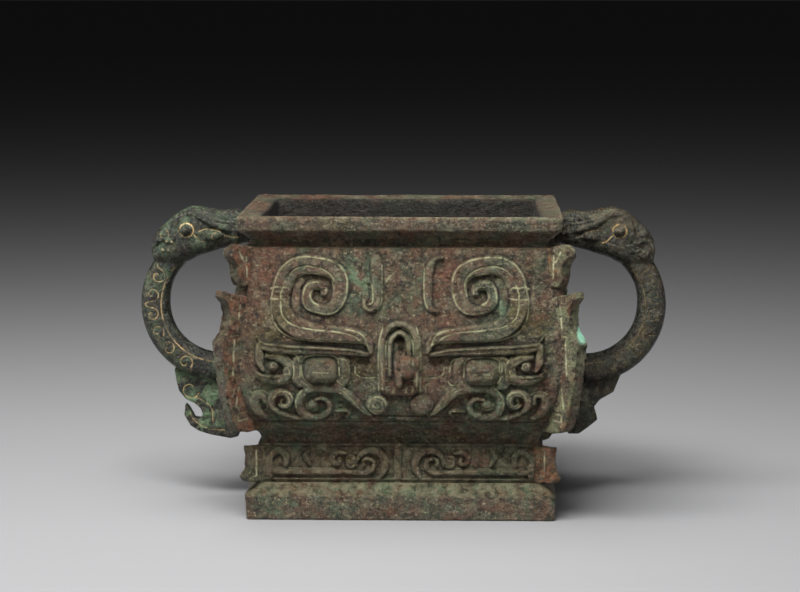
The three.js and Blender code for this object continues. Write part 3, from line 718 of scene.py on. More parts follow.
def placed(points, places):
    """The strength of a kind of wear at each point, from the places where it is known to lie."""
    x, y, z = points.T
    faces = {"front": (x, y < 0), "back": (-x, y > 0), "right": (y, x > 0), "left": (-y, x < 0)}
    total = np.zeros(len(points))
    for face, u0, z0, reach_u, reach_z, strength in places:
        u, here = faces[face]
        away = ((u - u0) / reach_u) ** 2 + ((z - z0) / reach_z) ** 2
        total += strength * here * np.exp(-away)
    return total


def crust_at(points):
    """Where crust covers the bronze, from nothing to one."""
    spread = rough(points, 15, 4, 11) * 1.3 + placed(points, CRUST) - placed(points, SMOOTH) - 0.32
    return smoothstep(0, 0.5, spread)


def weathered(points):
    """How far age has moved the surface: slow dents, a crust like coarse sand, and pits."""
    crust = crust_at(points)
    dents = 0.35 * rough(points, 38, 2, 21) + 0.20 * rough(points, 7, 2, 23)
    grain = (0.25 + crust) * (0.36 * rough(points, 2.6, 2, 31) + 0.1)
    pits = 0.55 * smoothstep(0.36, 0.62, rough(points, 3.4, 2, 41)) * (0.25 + crust)
    return dents + grain - pits


# %% Building the bowl
BOWL_LIMIT = 190000
FOOT_LIMIT = 150000
HIGHLIGHT_EDGES = (15.4, 178.9, 186.4)


def decimated(piece, limit):
    """The piece with its flat places thinned out until it has no more triangles than the limit."""
    triangles = sum(len(face.vertices) - 2 for face in piece.data.polygons)
    if triangles <= limit:
        return piece
    thin = piece.modifiers.new("thin", "DECIMATE")
    thin.ratio = limit / triangles
    return applied(piece)


def applied(piece):
    """Replaces the piece's mesh by what its modifiers make of it."""
    depsgraph = bpy.context.evaluated_depsgraph_get()
    mesh = bpy.data.meshes.new_from_object(piece.evaluated_get(depsgraph))
    old = piece.data
    piece.modifiers.clear()
    piece.data = mesh
    mesh.name = old.name
    bpy.data.meshes.remove(old)
    return piece


def positions(piece):
    points = np.empty(len(piece.data.vertices) * 3)
    piece.data.vertices.foreach_get("co", points)
    return points.reshape(-1, 3) / MM


def carved(name, section, closed, limit):
    """A section wrapped round the vessel, with its ornament and its wear."""
    columns = columns_round()
    points, out = (each.reshape(-1, 3) for each in wrap(section, columns))
    moved = ornament(points)[0] + weathered(points)
    piece = mesh_piece(name, points + out * moved[:, None], sheet_faces(len(section), len(columns), closed))
    piece.data.polygons.foreach_set("use_smooth", np.ones(len(piece.data.polygons), bool))
    piece = decimated(piece, limit)
    note_wear_and_light(piece)
    print(name, len(piece.data.polygons), "faces")
    return piece


def note(piece, name, values):
    """Keeps a number at each vertex, for the material to read."""
    layer = piece.data.attributes.new(name, "FLOAT", "POINT")
    layer.data.foreach_set("value", np.asarray(values, np.float32))


def painted_highlights(points):
    """Painted highlight along the sharp edges, and painted light on the slope of the foot, which faces up,
    and on its band.
    """
    x, y, z = np.abs(points).T
    edges = np.max([np.exp(-(((z - level) / 0.7) ** 2)) for level in HIGHLIGHT_EDGES], axis=0)
    edges *= smoothstep(-3, -1.2, np.maximum(x, y + DEPTH_LESS) - wall_half(z))
    slope = 0.85 * smoothstep(15.6, 16.6, z) * smoothstep(23.2, 22.2, z)
    band = 0.4 * smoothstep(23.2, 24, z) * smoothstep(47, 46, z)
    return np.maximum(edges, np.maximum(slope, band))


def note_wear_and_light(piece):
    """Keeps every kind of change at each point of the wall or the foot, and the painted shade, highlight and
    sheen.
    """
    points = positions(piece)
    _, line, cavity = ornament(points)
    note(piece, "line", line)
    # Painted highlight along edges and on the foot, joined with the proud ridges of the relief.
    note(piece, "rubbed_and_highlight", np.clip(np.maximum(cavity / 1.3, painted_highlights(points)), 0, 1))
    note(piece, "crust", crust_at(points))
    # Painted light on the slope of the foot comes in with the verdigris places.
    note(piece, "verdigris", np.clip(placed(points, VERDIGRIS_AND_SLOPE_LIGHT) + 0.5 * rough(points, 22, 3, 61), 0, 1))
    # Painted shade: the hollows of the relief and the inside walls are darkened in colour.
    x, y, z = np.abs(points).T
    inside = smoothstep(1.5, 4, wall_half(z) - x) * smoothstep(1.5, 4, wall_half(z) - DEPTH_LESS - y)
    inside *= smoothstep(186, 185, z) * (z > 52)
    note(piece, "painted_shade", np.maximum(np.clip(-cavity / 1.3, 0, 1), inside))
    note(piece, "shade", 0.5 + 0.5 * rough(points, 30, 3, 71))
    note(piece, "painted_sheen", smoothstep(0.3, 0.9, placed(points, PAINTED_SHEEN) + 0.4 * rough(points, 14, 3, 81)))


bowl = carved("bowl", bowl_section(), False, BOWL_LIMIT)

# %% The ring foot
FOOT_SECTION = [
    even([(77.4, 51.4), (80.5, 48), (82, 23), (90, 14), (90.3, 0.3)], 3.0),
    even([(90.8, 0), (94.4, 0)], 1.2),
    even([(94.8, 0.4), (95.3, 14.8)], 1.0),
    even([(95, 15.8), (87.6, 22.8)], 0.8),
    even([(87, 23.6), (86, 45.4)], 0.55),
    even([(85.4, 46.2), (85.4, 49.2)], 0.8),
    even([(84.4, 50), (79.4, 51)], 2.0),
]
ring_foot = carved("ring_foot", np.vstack(FOOT_SECTION), True, FOOT_LIMIT)

# %% [markdown]
# A flange stands on each corner, where the sections of the mould met. It hides the seam, so founders made
# an ornament of it. Each is a plate on the diagonal with a notched outline. A voxel remesh turns the
# plates into one skin of even little faces with soft edges, ready to be worn down.

# %% Remeshing
def remeshed(name, shells, size, rounds):
    """One smooth skin round several closed shells, each a pair of points and faces."""
    points, faces, start = [], [], 0
    for shell_points, shell_faces in shells:
        points.append(np.asarray(shell_points, float))
        faces += [[start + corner for corner in face] for face in shell_faces]
        start += len(shell_points)
    piece = mesh_piece(name, np.vstack(points), faces)
    skin = piece.modifiers.new("skin", "REMESH")
    skin.mode = "VOXEL"
    skin.voxel_size = size * MM
    skin.use_smooth_shade = True
    soft = piece.modifiers.new("soft", "SMOOTH")
    soft.factor = 0.5
    soft.iterations = rounds
    return applied(piece)


def directions(piece):
    """The outward direction of the surface at each vertex."""
    normals = np.empty(len(piece.data.vertices) * 3, np.float32)
    piece.data.vertex_normals.foreach_get("vector", normals)
    return normals.reshape(-1, 3).astype(float)


def move_out(piece, amount):
    points = positions(piece) + directions(piece) * np.asarray(amount)[:, None]
    piece.data.vertices.foreach_set("co", (points * MM).ravel())
    piece.data.update()


# %% Flanges
UPPER = [(91, 168), (99.4, 170.6), (103.4, 167.4), (103.8, 163.8), (100.4, 158), (99.8, 149), (98.4, 144.8),
         (92, 145)]
LOWER = [(95, 138.6), (98, 139.6), (103, 140.8), (107.4, 143.2), (108.6, 139.6), (105.6, 135), (104.8, 128),
         (106, 119), (109, 114), (110.4, 111.8), (109.6, 106), (108.2, 91), (106.4, 76), (104, 63),
         (101.2, 56.6), (94, 54.8), (88, 56), (99, 80), (100, 110)]
FOOT = [(84, 45), (93.6, 45.4), (93.2, 38), (93.6, 31.5), (96.6, 26.8), (94.6, 23.6), (86, 22.8), (82, 24)]


def plate(outline, half_thick, sign_x, sign_y):
    """A plate on the vessel's diagonal. Its outline is given by x and z."""
    x, z = np.array(outline, float).T
    sides = []
    for side in (-1, 1):
        off = side * half_thick / math.sqrt(2)
        sides.append(np.column_stack([sign_x * (x + off), sign_y * (x - DEPTH_LESS - off), z]))
    return prism(*sides)


FLANGE_VOXEL = 0.72
plates = [plate(outline, half_thick, sign_x, sign_y)
          for sign_x, sign_y in product((-1, 1), repeat=2)
          for outline, half_thick in ((UPPER, 4.4), (LOWER, 4.4), (FOOT, 3.4))]
flanges = remeshed("corner_flanges", plates, FLANGE_VOXEL, 3)


# %% The flanges' strokes and wear
FLANGE_STROKES = [[(95.6, 164), (95.4, 150)], [(99.6, 166.5), (96.8, 160)], [(99.4, 134), (100.8, 119)],
                  [(100, 115.5), (104.5, 115.6)], [(102.6, 113), (103.6, 92)], [(98.6, 108), (99.6, 96)],
                  [(100.4, 84), (102, 72)], [(96, 68), (101, 67.4)], [(101, 67.4), (100.6, 63)],
                  [(100.6, 63), (95.4, 63.6)], [(96.2, 90), (96, 76)], [(90.4, 43), (90.2, 27)],
                  [(90.2, 27), (94, 27)]]
STROKE_DEPTH = 0.8
FOOT_TOP = 50


def flange_lines():
    """Grooves along each flange's flat sides, cut as long and short strokes."""
    relief = Relief((80, 20), (116, 175))
    for stroke in FLANGE_STROKES:
        relief.cut(stroke, 0.45)
    return relief


def on_flat_side(points, out):
    """One where the skin faces square to a flange's diagonal, and nothing along its edge."""
    corner = np.sign(points[:, :2])
    across = np.abs(corner[:, 0] * out[:, 0] - corner[:, 1] * out[:, 1]) / math.sqrt(2)
    return smoothstep(0.6, 0.9, across)


def rust_on_flanges(points, on_side):
    """The left flanges rusted on their flat sides, and the right one's foot all over."""
    x, y, z = points.T
    left = np.where(z > FOOT_TOP, 0.2 + 0.7 * on_side, 0)
    right = np.where(z > FOOT_TOP, 0.1, 1.1)
    return np.where(x < 0, left, right) * (y < 0) + 0.3 * (y > 0)


def worn_flanges(piece):
    relief = flange_lines()
    points, out = positions(piece), directions(piece)
    along = np.abs(points[:, 0] * 0.5) + (np.abs(points[:, 1]) + DEPTH_LESS) * 0.5
    on_side = on_flat_side(points, out)
    stroke, earth = (relief.sample(field, along, points[:, 2]) * on_side
                     for field in (relief.line, relief.earth))
    corroded = 0.5 * rough(points, 3.6, 3, 91) - 0.6 * smoothstep(0.25, 0.6, rough(points, 2.6, 2, 95))
    move_out(piece, corroded - STROKE_DEPTH * stroke)
    points = positions(piece)
    x, _, z = points.T
    from_mint = np.hypot((x - 110) / 3.2, (z - 117) / 5.0)
    note(piece, "line", earth)
    # Painted shade in the pits and on the outer edges of the left flanges; painted highlight on the raised
    # grains.
    note(piece, "painted_shade", 0.6 * smoothstep(0.2, 0.8, -corroded) + 0.25 * (x < 0) * (1 - on_side))
    note(piece, "rubbed_and_highlight", smoothstep(0.1, 0.5, corroded))
    rusty = rough(points, 9, 3, 97) + rust_on_flanges(points, on_side)
    note(piece, "crust", smoothstep(0.0, 0.6, rusty - 0.2))
    note(piece, "verdigris", np.where(x > 0, 0.8, 0.35))
    note(piece, "shade", 0.5 + 0.5 * rough(points, 30, 3, 71))
    note(piece, "painted_sheen", 0.4 * smoothstep(0.1, 0.6, rough(points, 16, 2, 83)))
    note(piece, "mint", smoothstep(1.3, 0.6, from_mint + 0.3 * rough(points, 3, 2, 99)))


worn_flanges(flanges)
print("flanges:", len(flanges.data.polygons), "faces")

# %% [markdown]
# Each handle is a ring that springs from the belly and ends in a beast's head, which bites the lip. Below
# it hangs a hooked pendant; the hook of the right one broke off long ago. The shapes are built as simple
# tubes and lofts that overlap. The voxel remesh makes one casting of them.

# %% Shapes for the handles
LOOP_CENTRE = np.array([117.2, 124.2])
INNER_RADIUS = 31.6
OUTER_RADIUS = 49.9
LOOP_HALF = 10
PENDANT_HALF = 4.5


def bearing(degrees):
    """The way out from the loop's centre at an angle, by x and z."""
    angle = math.radians(degrees)
    return np.array([math.cos(angle), math.sin(angle)])


def section(centre, one, other, half_one, half_other, power=2.8, count=28):
    """A rounded section about a point, across two directions."""
    angle = np.linspace(0, 2 * np.pi, count, endpoint=False)
    cos, sin = np.cos(angle), np.sin(angle)
    a = half_one * np.sign(cos) * np.abs(cos) ** (2 / power)
    b = half_other * np.sign(sin) * np.abs(sin) ** (2 / power)
    return centre + a[:, None] * np.asarray(one, float) + b[:, None] * np.asarray(other, float)


def loft(rings):
    """A solid through sections that match point for point."""
    rings = np.array(rings)
    return rings.reshape(-1, 3), sheet_faces(*rings.shape[:2], False)


def tube(path, radii):
    """A round bar along a path in space, through the radii given."""
    path = curve(path, 1.2)
    along = np.gradient(path, axis=0)
    along /= np.linalg.norm(along, axis=1)[:, None]
    aside = np.cross(along, (0, 1, 0.01))
    aside /= np.linalg.norm(aside, axis=1)[:, None]
    other = np.cross(along, aside)
    radii = tapered(radii, np.linspace(0, 1, len(path)))
    return loft([section(p, a, o, r, r, 2, 14) for p, a, o, r in zip(path, aside, other, radii)])


def ball(centre, radii):
    """A round boss, flattened or drawn out by its three radii."""
    rings = []
    for angle in np.radians(np.linspace(-86, 86, 13)):
        middle = np.array(centre) + (0, radii[1] * math.sin(angle), 0)
        wide, tall = (radii[k] * math.cos(angle) for k in (0, 2))
        rings.append(section(middle, (1, 0, 0), (0, 0, 1), wide, tall, 2, 20))
    return loft(rings)


def loop():
    """The ring of the handle. It thins a little towards the head."""
    rings = [section((x, 0, z), (0, 0, 1), (0, 1, 0), half, LOOP_HALF)
             for x, z, half in ((98, 83.6, 9.6), (106, 83.4, 9.4))]
    for degrees in range(-90, 66, 4):
        inner = INNER_RADIUS + 2.2 * max(degrees, 0) / 62
        out = np.insert(bearing(degrees), 1, 0)
        middle = np.insert(LOOP_CENTRE, 1, 0) + out * (inner + OUTER_RADIUS) / 2
        rings.append(section(middle, out, (0, 1, 0), (OUTER_RADIUS - inner) / 2, LOOP_HALF))
    return loft(rings)


# %% The beast's head
HEAD = [(96, 164, 182.6, 9.2), (103.4, 162.6, 183.6, 9.8), (104.6, 162, 185, 11.2), (108.6, 161.4, 185, 11.2),
        (109.8, 160.8, 184.2, 10.4), (116.7, 159, 184, 10.8), (122.6, 157, 185.2, 12),
        (129.8, 154.8, 186.6, 13.4), (136, 151.5, 186, 13.8), (142, 149, 183.4, 13.4),
        (149.5, 147.5, 177.4, 12), (155.4, 149, 171.6, 10.6), (158.8, 152, 165.6, 8.6)]
HEAD_POWER = 2.7
EYE_PLACE = (136.4, 172.4)
EAR_PLACE = (120.6, 169)


def head():
    """The head, from sections by x: its lowest and highest points and half its width."""
    rings = []
    for x, low, high, half in curve(HEAD, 2.2):
        middle = (x, 0, (low + high) / 2)
        rings.append(section(middle, (0, 1, 0), (0, 0, 1), half, (high - low) / 2, HEAD_POWER, 36))
    return loft(rings)


def head_side(x, z):
    """How far out the head's side lies at a place in its side view."""
    table = np.array(HEAD)
    low, high, half = (np.interp(x, table[:, 0], table[:, k]) for k in (1, 2, 3))
    share = np.clip(abs(z - (low + high) / 2) / ((high - low) / 2), 0, 0.99)
    return half * (1 - share**HEAD_POWER) ** (1 / HEAD_POWER)


def on_head(places, side, sink):
    """A path over the side of the head, drawn by its side view."""
    return [(x, side * (head_side(x, z) - sink), z) for x, z in places]


BROW_ROPE = [(100, 170.4), (110, 172.6), (119, 175.4), (126, 179.4), (132, 182.6), (138, 182), (142.6, 178),
             (144.6, 172), (144.2, 166)]
MIDDLE_ROPE = [(100, 174.8), (110, 176.2), (118, 178.2), (125, 182)]
UPPER_ROPE = [(100, 179), (112, 179.8), (120, 181.4), (128, 184.4), (136, 184.8)]
LIP_ROPE = [(146, 163.6), (150.6, 166.4), (155.4, 165), (157.8, 160), (157.4, 153.6)]


def features(side):
    """Brow, mane, eye, ear, nostril and mouth of one side of the head."""
    eye_x, eye_z = EYE_PLACE
    ear_x, ear_z = EAR_PLACE
    return [
        tube(on_head(BROW_ROPE, side, 0), (1.5, 1.9, 2.3, 2.1, 1.3)),
        tube(on_head(MIDDLE_ROPE, side, 0.1), (1.1, 1.4, 1.2)),
        tube(on_head(UPPER_ROPE, side, 0.4), (1.2, 1.6, 1.3)),
        tube(on_head(LIP_ROPE, side, 0.1), (0.9, 1.6, 1.7, 0.9)),
        ball((eye_x, side * 12.2, eye_z), (4.9, 3.0, 4.9)),
        ball((eye_x, side * 13.4, eye_z), (3.0, 3.4, 3.0)),
        ball((ear_x, side * (head_side(*EAR_PLACE) - 0.4), ear_z), (7.4, 2.4, 3.4)),
        ball((151.4, side * 9.8, 169.4), (3.2, 2.8, 3.0)),
        ball((151.8, side * 9.8, 157.6), (4.2, 2.6, 4.4)),
    ]


# %% Pendants
PENDANT = [(103, 80), (103, 60), (105.5, 38.6), (110.7, 37.4), (123.2, 39.6), (131, 42), (136.5, 45.6),
           (140.3, 52.5), (139.6, 59.2), (137.2, 57), (133.6, 50.4), (129.6, 50), (128.4, 53), (129.8, 56.8),
           (133.5, 60), (139, 62.6), (143.4, 68), (145, 74), (146.2, 82)]
BROKEN_PENDANT = [(103, 80), (103, 60), (105.5, 41.4), (112.5, 41.4), (118, 45.4), (124.2, 50.6),
                  (123.4, 54.6), (122, 58.8), (125.4, 63.4), (134.4, 68.6), (138, 77.6), (140, 84)]


def slab(outline, half):
    """A flat shape in the handle's plane, as thick as twice the half."""
    return prism(*(np.insert(np.array(outline, float), 1, y, axis=1) for y in (-half, half)))


def to_left(shell):
    """The shell seen in a mirror, for the handle on the other side."""
    points, faces = shell
    return points * (-1, 1, 1), faces


# %% The handles' ornament
SCROLLS = ((26, 1, 4.6), (9, -1, 4.4), (-8, 1, 4.2), (-24, -1, 4.4), (-41, 1, 4.4), (-60, -1, 4.6))


def loop_scrolls(relief, strength):
    """Scrolls along the loop, each coiled the other way from the last, with a short tail."""
    for angle, turn, size in SCROLLS:
        middle = LOOP_CENTRE + 42.6 * bearing(angle)
        radii = [size, size * 0.95, size * 0.75, size * 0.5, 0.9]
        scroll = coil(middle, radii, angle + 90 * turn, 90 * turn)
        relief.cut(scroll, 0.38, strength)
        tail = LOOP_CENTRE + 46.6 * bearing(angle + 8 * turn)
        relief.cut([scroll[0], (scroll[0] + tail) / 2 + (0.8, 0), tail], 0.34, strength)


def handle_lines(clear):
    """Lines on the flat sides of a handle. On the clean one they are sharp, on the other worn."""
    relief = Relief((94, 34), (172, 190), 0.3)
    strength = 0.86 if clear else 0.72
    angles = np.radians(np.arange(-100, 44, 3))
    ring = np.column_stack([np.cos(angles), np.sin(angles)])
    relief.cut(ring * 36.4 + LOOP_CENTRE, 0.4, strength)
    loop_scrolls(relief, strength)
    relief.cut(coil(EYE_PLACE, [4.4, 4.4, 4.4, 4.4, 4.4]), FINE_LINE)
    relief.cut([(131.6, 169.4), (128.6, 166), (125.6, 165)], FINE_LINE)
    relief.trough([(103, 175.4), (112, 176.4), (121, 178.6), (129, 182.4)], 0.7, 0.6, 0.6)
    relief.cut([(104, 167.6), (112, 168.4), (116, 171.6), (124, 173), (128.6, 171.4)], FINE_LINE, strength)
    relief.cut(coil((117.8, 168.6), [3.2, 3.0, 2.6, 2.0], 180, 90), FINE_LINE, strength)
    for x in (103.6, 108.8):
        relief.trough([(x, 160), (x - 0.2, 172), (x, 185)], 0.5, 0.6, 0.5)
    relief.cut(coil((151.4, 169.4), [3.4, 3.2, 2.6, 1.8], 200, -90), FINE_LINE, strength)
    for row, z in enumerate((159.6, 165)):
        for k in range(3 - row):
            relief.cushion((144.6 + 3.6 * k + row, z), (1.2, 1.2), 1.2, 0.8, 1.1)
            relief.cut([(144.6 + 3.6 * k + row, z), (144.8 + 3.6 * k + row, z)], 0.7, 0.8 * clear)
    for path in ([(130.6, 66.6), (134, 63.6), (139.6, 65.4), (140.4, 70), (137, 72.4), (134, 71)],
                 [(133.6, 64.6), (126, 60.6), (122.4, 56), (121.8, 48)],
                 [(114.4, 42.8), (122, 43.2), (129, 45.6), (134.6, 50), (136.4, 54.6)]):
        relief.cut(path, 0.38, strength)
    return relief.settle(0.4)


handle_reliefs = {"left": handle_lines(True), "right": handle_lines(False)}


# %% The two handles
HANDLE_VOXEL = 0.62
HANDLE_LIMIT = 190000
INNER_FACE_REACH = 38


def inner_face(points, out):
    """One on the face of the loop that looks towards its centre. Light seldom reaches it, and painted shade
    darkens it.
    """
    away = np.column_stack([np.abs(points[:, 0]), points[:, 2]]) - LOOP_CENTRE
    distance = np.hypot(*away.T)
    towards = -(np.sign(points[:, 0]) * out[:, 0] * away[:, 0] + out[:, 2] * away[:, 1]) / distance
    return smoothstep(0.4, 0.8, towards) * (distance < INNER_FACE_REACH)


def handle(name, outline):
    """One casting of loop, head and pendant, with its lines, its wear, and its painted shade and highlight.
    """
    shells = [loop(), head(), slab(outline, PENDANT_HALF), *features(-1), *features(1)]
    if name == "left":
        shells = [to_left(shell) for shell in shells]
    piece = remeshed(f"{name}_handle_casting", shells, HANDLE_VOXEL, 2)
    relief = handle_reliefs[name]
    points, out = positions(piece), directions(piece)
    x, z = np.abs(points[:, 0]), points[:, 2]
    face = smoothstep(0.35, 0.8, np.abs(out[:, 1]))
    dents = 0.18 * rough(points, 12, 2, 121)
    grain = 0.16 * rough(points, 3.0, 2, 125) * (0.4 + rough(points, 20, 2, 127))
    move_out(piece, relief.sample(relief.total, x, z) * face + (dents + grain))
    points = positions(piece)
    cavity = relief.sample(relief.cavity, x, z) * face / 0.6
    low = smoothstep(84, 70, z) * (name == "left")
    note(piece, "line", relief.sample(relief.earth, x, z) * face)
    # Painted shade on the loop's inner face and in the hollows; painted highlight on the raised lines.
    note(piece, "painted_shade", np.maximum(0.6 * inner_face(points, out), np.clip(-cavity, 0, 1)))
    note(piece, "rubbed_and_highlight", np.clip(cavity, 0, 1))
    note(piece, "crust", smoothstep(0.35, 0.8, rough(points, 14, 3, 131)))
    note(piece, "verdigris", np.clip(0.4 + low + 0.6 * rough(points, 18, 3, 133), 0, 1))
    note(piece, "shade", 0.5 + 0.5 * rough(points, 24, 3, 135))
    note(piece, "painted_sheen", 0.7 * smoothstep(-0.1, 0.5, rough(points, 18, 3, 137)))
    print(piece.name, len(piece.data.polygons), "faces")
    return decimated(piece, HANDLE_LIMIT)


left_handle = handle("left", PENDANT)
right_handle = handle("right", BROKEN_PENDANT)

# %% [markdown]
# Patina is not one colour. Under everything is bronze gone olive and grey-brown. Crusts of cuprite are
# pinkish brown and matt. Malachite settles pale green in the hollows. The ridges are painted paler, partly
# for rubbing by hands and partly as painted highlight, and an olive tone is painted where the bronze would
# gleam. Painted shade darkens the hollows of the relief and the inside. Pale earth still fills the cut lines.

# %% The patina
def srgb(red, green, blue):
    """A colour as seen on a screen, in the linear values a shader needs."""
    parts = [c / 255 for c in (red, green, blue)]
    return (*[c / 12.92 if c <= 0.04045 else ((c + 0.055) / 1.055) ** 2.4 for c in parts], 1.0)


class Paint:
    """A material's nodes, made one after another."""

    def __init__(self, name):
        self.material = bpy.data.materials.new(name)
        self.material.use_nodes = True
        self.tree = self.material.node_tree
        self.surface = self.tree.nodes["Principled BSDF"]
        self.place = self.tree.nodes.new("ShaderNodeTexCoord").outputs["Object"]

    def node(self, kind, inputs, output, **settings):
        node = self.tree.nodes.new(kind)
        for key, value in settings.items():
            setattr(node, key, value)
        for key, value in inputs.items():
            if isinstance(value, bpy.types.NodeSocket):
                self.tree.links.new(value, node.inputs[key])
            else:
                node.inputs[key].default_value = value
        return node.outputs[output]

    def read(self, name):
        return self.node("ShaderNodeAttribute", {}, "Fac", attribute_name=name)

    def noise(self, cell, detail=4.0, share=0.6, low=0.35, high=0.65):
        """Noise of a given cell in millimetres, spread to run from 0 to 1."""
        inputs = {"Vector": self.place, "Scale": 1000 / cell, "Detail": detail, "Roughness": share}
        return self.spread(self.node("ShaderNodeTexNoise", inputs, "Fac"), low, high)

    def spread(self, value, low, high):
        inputs = {"Value": value, "From Min": low, "From Max": high}
        return self.node("ShaderNodeMapRange", inputs, "Result", interpolation_type="SMOOTHSTEP")

    def times(self, one, other):
        return self.node("ShaderNodeMath", {0: one, 1: other}, "Value", operation="MULTIPLY", use_clamp=True)

    def plus(self, one, other):
        return self.node("ShaderNodeMath", {0: one, 1: other}, "Value", operation="ADD")

    def over(self, base, colour, amount):
        """The colour laid over the base, as thickly as the amount says."""
        return self.node("ShaderNodeMix", {0: amount, 6: base, 7: srgb(*colour)}, 2, data_type="RGBA")

    def mottled(self, base, colour, noise, amount):
        """Specks of a colour over the base, in the pattern of a noise."""
        return self.over(base, colour, self.times(self.noise(*noise), amount))

    def joined(self, socket, value):
        self.tree.links.new(value, self.surface.inputs[socket])


# %% Colours and grain
WARM_GREY = (138, 130, 106)
PALE_SPECK = (170, 156, 124)
RUBBED_AND_HIGHLIGHT = (152, 146, 116)
MINT = (150, 204, 176)
GRAIN_DEPTH = 0.0024


def patina(name, dark, brown, olive, crust, green, line, gleam, bright=1.0, grain=1.0):
    """A patina from its colours: two for the ground, an olive painted where the bronze would gleam, crust,
    verdigris and the earth in the lines.
    """
    paint = Paint(name)
    wide = paint.plus(paint.read("shade"), paint.times(paint.noise(11, 5, 0.6), 0.6))
    colour = paint.over(srgb(*dark), brown, paint.spread(wide, 0.5, 1.05))
    # Painted sheen: an olive tone where the bronze would gleam.
    colour = paint.over(colour, olive, paint.times(paint.read("painted_sheen"), 0.85))
    colour = paint.mottled(colour, (20, 18, 14), (3.6, 8, 0.72, 0.46, 0.64), 0.8)
    stain = paint.times(paint.read("verdigris"), paint.noise(8, 9, 0.74, 0.46, 0.58))
    colour = paint.over(colour, green, paint.times(stain, 0.8))
    patch = paint.times(paint.read("crust"), paint.noise(4, 10, 0.78, 0.42, 0.58))
    colour = paint.over(colour, crust, paint.times(patch, 0.85))
    colour = paint.mottled(colour, WARM_GREY, (7, 8, 0.76, 0.5, 0.62), 0.5 * bright)
    colour = paint.mottled(colour, (16, 15, 12), (5, 9, 0.76, 0.5, 0.64), 0.75)
    colour = paint.mottled(colour, PALE_SPECK, (1.9, 5, 0.7, 0.55, 0.66), 0.62 * bright)
    colour = paint.mottled(colour, (14, 12, 10), (1.5, 4, 0.66, 0.56, 0.66), 0.6)
    # Painted shade: near-black over the hollows of the relief, the pits, the inside and the loop's inner
    # faces.
    colour = paint.over(colour, (14, 13, 10), paint.times(paint.read("painted_shade"), 0.88))
    # Painted highlight: a paler colour on the ridges and edges, partly rubbed wear.
    edge = paint.times(paint.read("rubbed_and_highlight"), paint.noise(6, 6, 0.66, 0.40, 0.60))
    colour = paint.over(colour, RUBBED_AND_HIGHLIGHT, paint.times(edge, 0.24 + 0.4 * bright))
    colour = paint.over(colour, MINT, paint.read("mint"))
    earth = paint.times(paint.spread(paint.read("line"), 0.5, 0.88), paint.noise(6, 6, 0.66, 0.36, 0.56))
    colour = paint.over(colour, line, paint.times(earth, 0.75))
    dull = paint.plus(paint.times(patch, 0.25), paint.times(paint.noise(3), 0.2))
    sandy = paint.plus(paint.times(paint.read("crust"), 0.8), 0.4)
    sand = paint.times(paint.noise(1.7, 7, 0.74, 0.3, 0.7), sandy)
    fine = paint.plus(sand, paint.times(paint.noise(6, 8, 0.68, 0.25, 0.75), 0.8))
    bump = {"Height": fine, "Strength": 1.0, "Distance": GRAIN_DEPTH * grain}
    paint.joined("Base Color", colour)
    paint.joined("Roughness", paint.plus(dull, gleam))
    paint.joined("Normal", paint.node("ShaderNodeBump", bump, "Normal"))
    paint.surface.inputs["Metallic"].default_value = 0.25
    return paint.material


# %% The four finishes
body_finish = patina("body_patina", dark=(74, 78, 58), brown=(96, 72, 54), olive=(84, 74, 40),
                     crust=(128, 84, 62), green=(104, 136, 104), line=(178, 178, 138), gleam=0.3)
flange_finish = patina("flange_patina", dark=(86, 84, 62), brown=(88, 64, 46), olive=(80, 72, 40),
                       crust=(140, 82, 52), green=(128, 136, 98), line=(206, 202, 164), gleam=0.3)
left_finish = patina("left_handle_patina", dark=(17, 22, 17), brown=(24, 20, 14), olive=(40, 33, 19),
                     crust=(48, 40, 29), green=(100, 124, 90), line=(206, 176, 122), gleam=0.2, bright=0.35,
                     grain=0.4)
right_finish = patina("right_handle_patina", dark=(28, 29, 19), brown=(38, 31, 19), olive=(62, 47, 22),
                      crust=(58, 46, 31), green=(48, 64, 46), line=(190, 160, 104), gleam=0.16, bright=0.35,
                      grain=0.4)

# %% [markdown]
# Each piece takes the place of its block in the CAD frame, with its patina.

# %% Joining the frame
for piece, block, finish, slot in (
    (bowl, "vessel", body_finish, "body_bronze"),
    (ring_foot, "vessel", body_finish, "body_bronze"),
    (flanges, "vessel", flange_finish, "body_bronze"),
    (left_handle, "handle_left", left_finish, "left_handle_bronze"),
    (right_handle, "handle_right", right_finish, "right_handle_bronze"),
):
    piece.data.materials.append(finish)
    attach(piece, "root")
    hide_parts(block)

# %% [markdown]
# Soft light comes from high in front, as in a showcase, with a little from either side. A plain grey floor
# runs far back and needs no wall behind it, because the light fades with the distance.

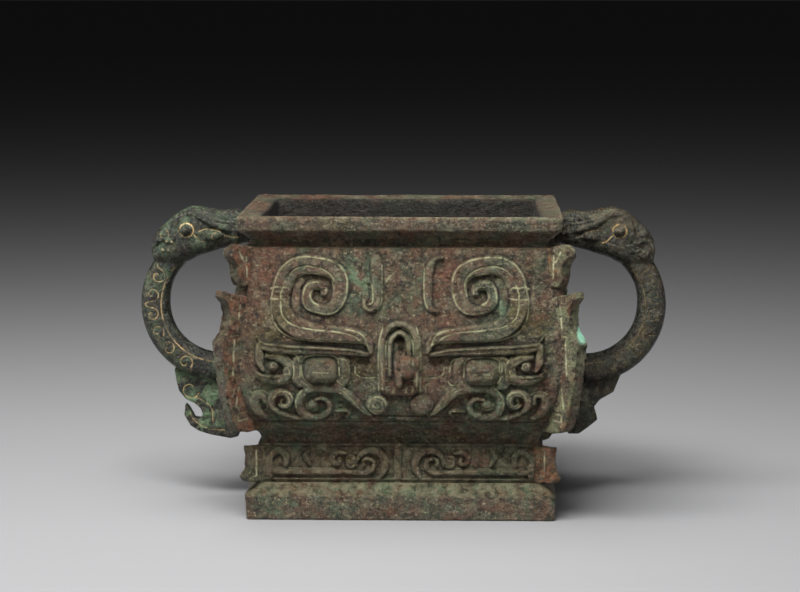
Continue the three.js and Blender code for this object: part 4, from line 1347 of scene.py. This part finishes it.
# %% Floor and lights
FLOOR_LEVEL = -0.1
FLOOR_CORNERS = [(-30000, -6000), (30000, -6000), (30000, 90000), (-30000, 90000)]


def studio_floor():
    corners = [(x, y, FLOOR_LEVEL) for x, y in FLOOR_CORNERS]
    floor = mesh_piece("studio_floor", corners, [(0, 1, 2, 3)])
    paper = Paint("paper")
    paper.surface.inputs["Base Color"].default_value = srgb(122, 122, 123)
    paper.surface.inputs["Roughness"].default_value = 0.9
    floor.data.materials.append(paper.material)


def softbox(name, place, target, size, power):
    """A rectangular light that faces its target. Places are in metres."""
    light = bpy.data.lights.new(name, "AREA")
    light.shape = "RECTANGLE"
    light.size, light.size_y = size
    light.energy = power
    lamp = placed_object(name, light)
    lamp.location = place
    lamp.rotation_euler = (Vector(target) - Vector(place)).to_track_quat("-Z", "Y").to_euler()


studio_floor()
softbox("overhead", (-0.1, -0.1, 1.0), (0, -0.05, 0.1), (1.0, 0.5), 11)
softbox("key", (-0.25, -0.54, 1.1), (0, -0.05, 0.1), (0.9, 0.36), 29)
softbox("front_fill", (-0.4, -1.9, 0.75), (0, 0, 0.08), (0.9, 0.5), 11)
softbox("left_side", (-1.2, -0.35, 0.45), (0, 0, 0.12), (0.35, 0.9), 2.2)
softbox("right_side", (1.2, -0.25, 0.45), (0, 0, 0.12), (0.35, 0.9), 2.6)

world = bpy.data.worlds.new("studio")
world.use_nodes = True
ambient = world.node_tree.nodes["Background"]
ambient.inputs["Color"].default_value = (0.5, 0.5, 0.5, 1)
ambient.inputs["Strength"].default_value = 0.03
bpy.context.scene.world = world
bpy.context.scene.view_settings.view_transform = "Standard"

# %% The camera
CAMERA_PLACE = (0.0379, -1.511, 0.3215)
CAMERA_PITCH = 82.75
CAMERA_TURN = 1.51

camera_data = bpy.data.cameras.new("camera")
camera_data.lens = 107.55
camera_data.sensor_width = 36
camera = placed_object("camera", camera_data)
camera.location = CAMERA_PLACE
camera.rotation_euler = (math.radians(CAMERA_PITCH), 0, math.radians(CAMERA_TURN))
bpy.context.scene.camera = camera
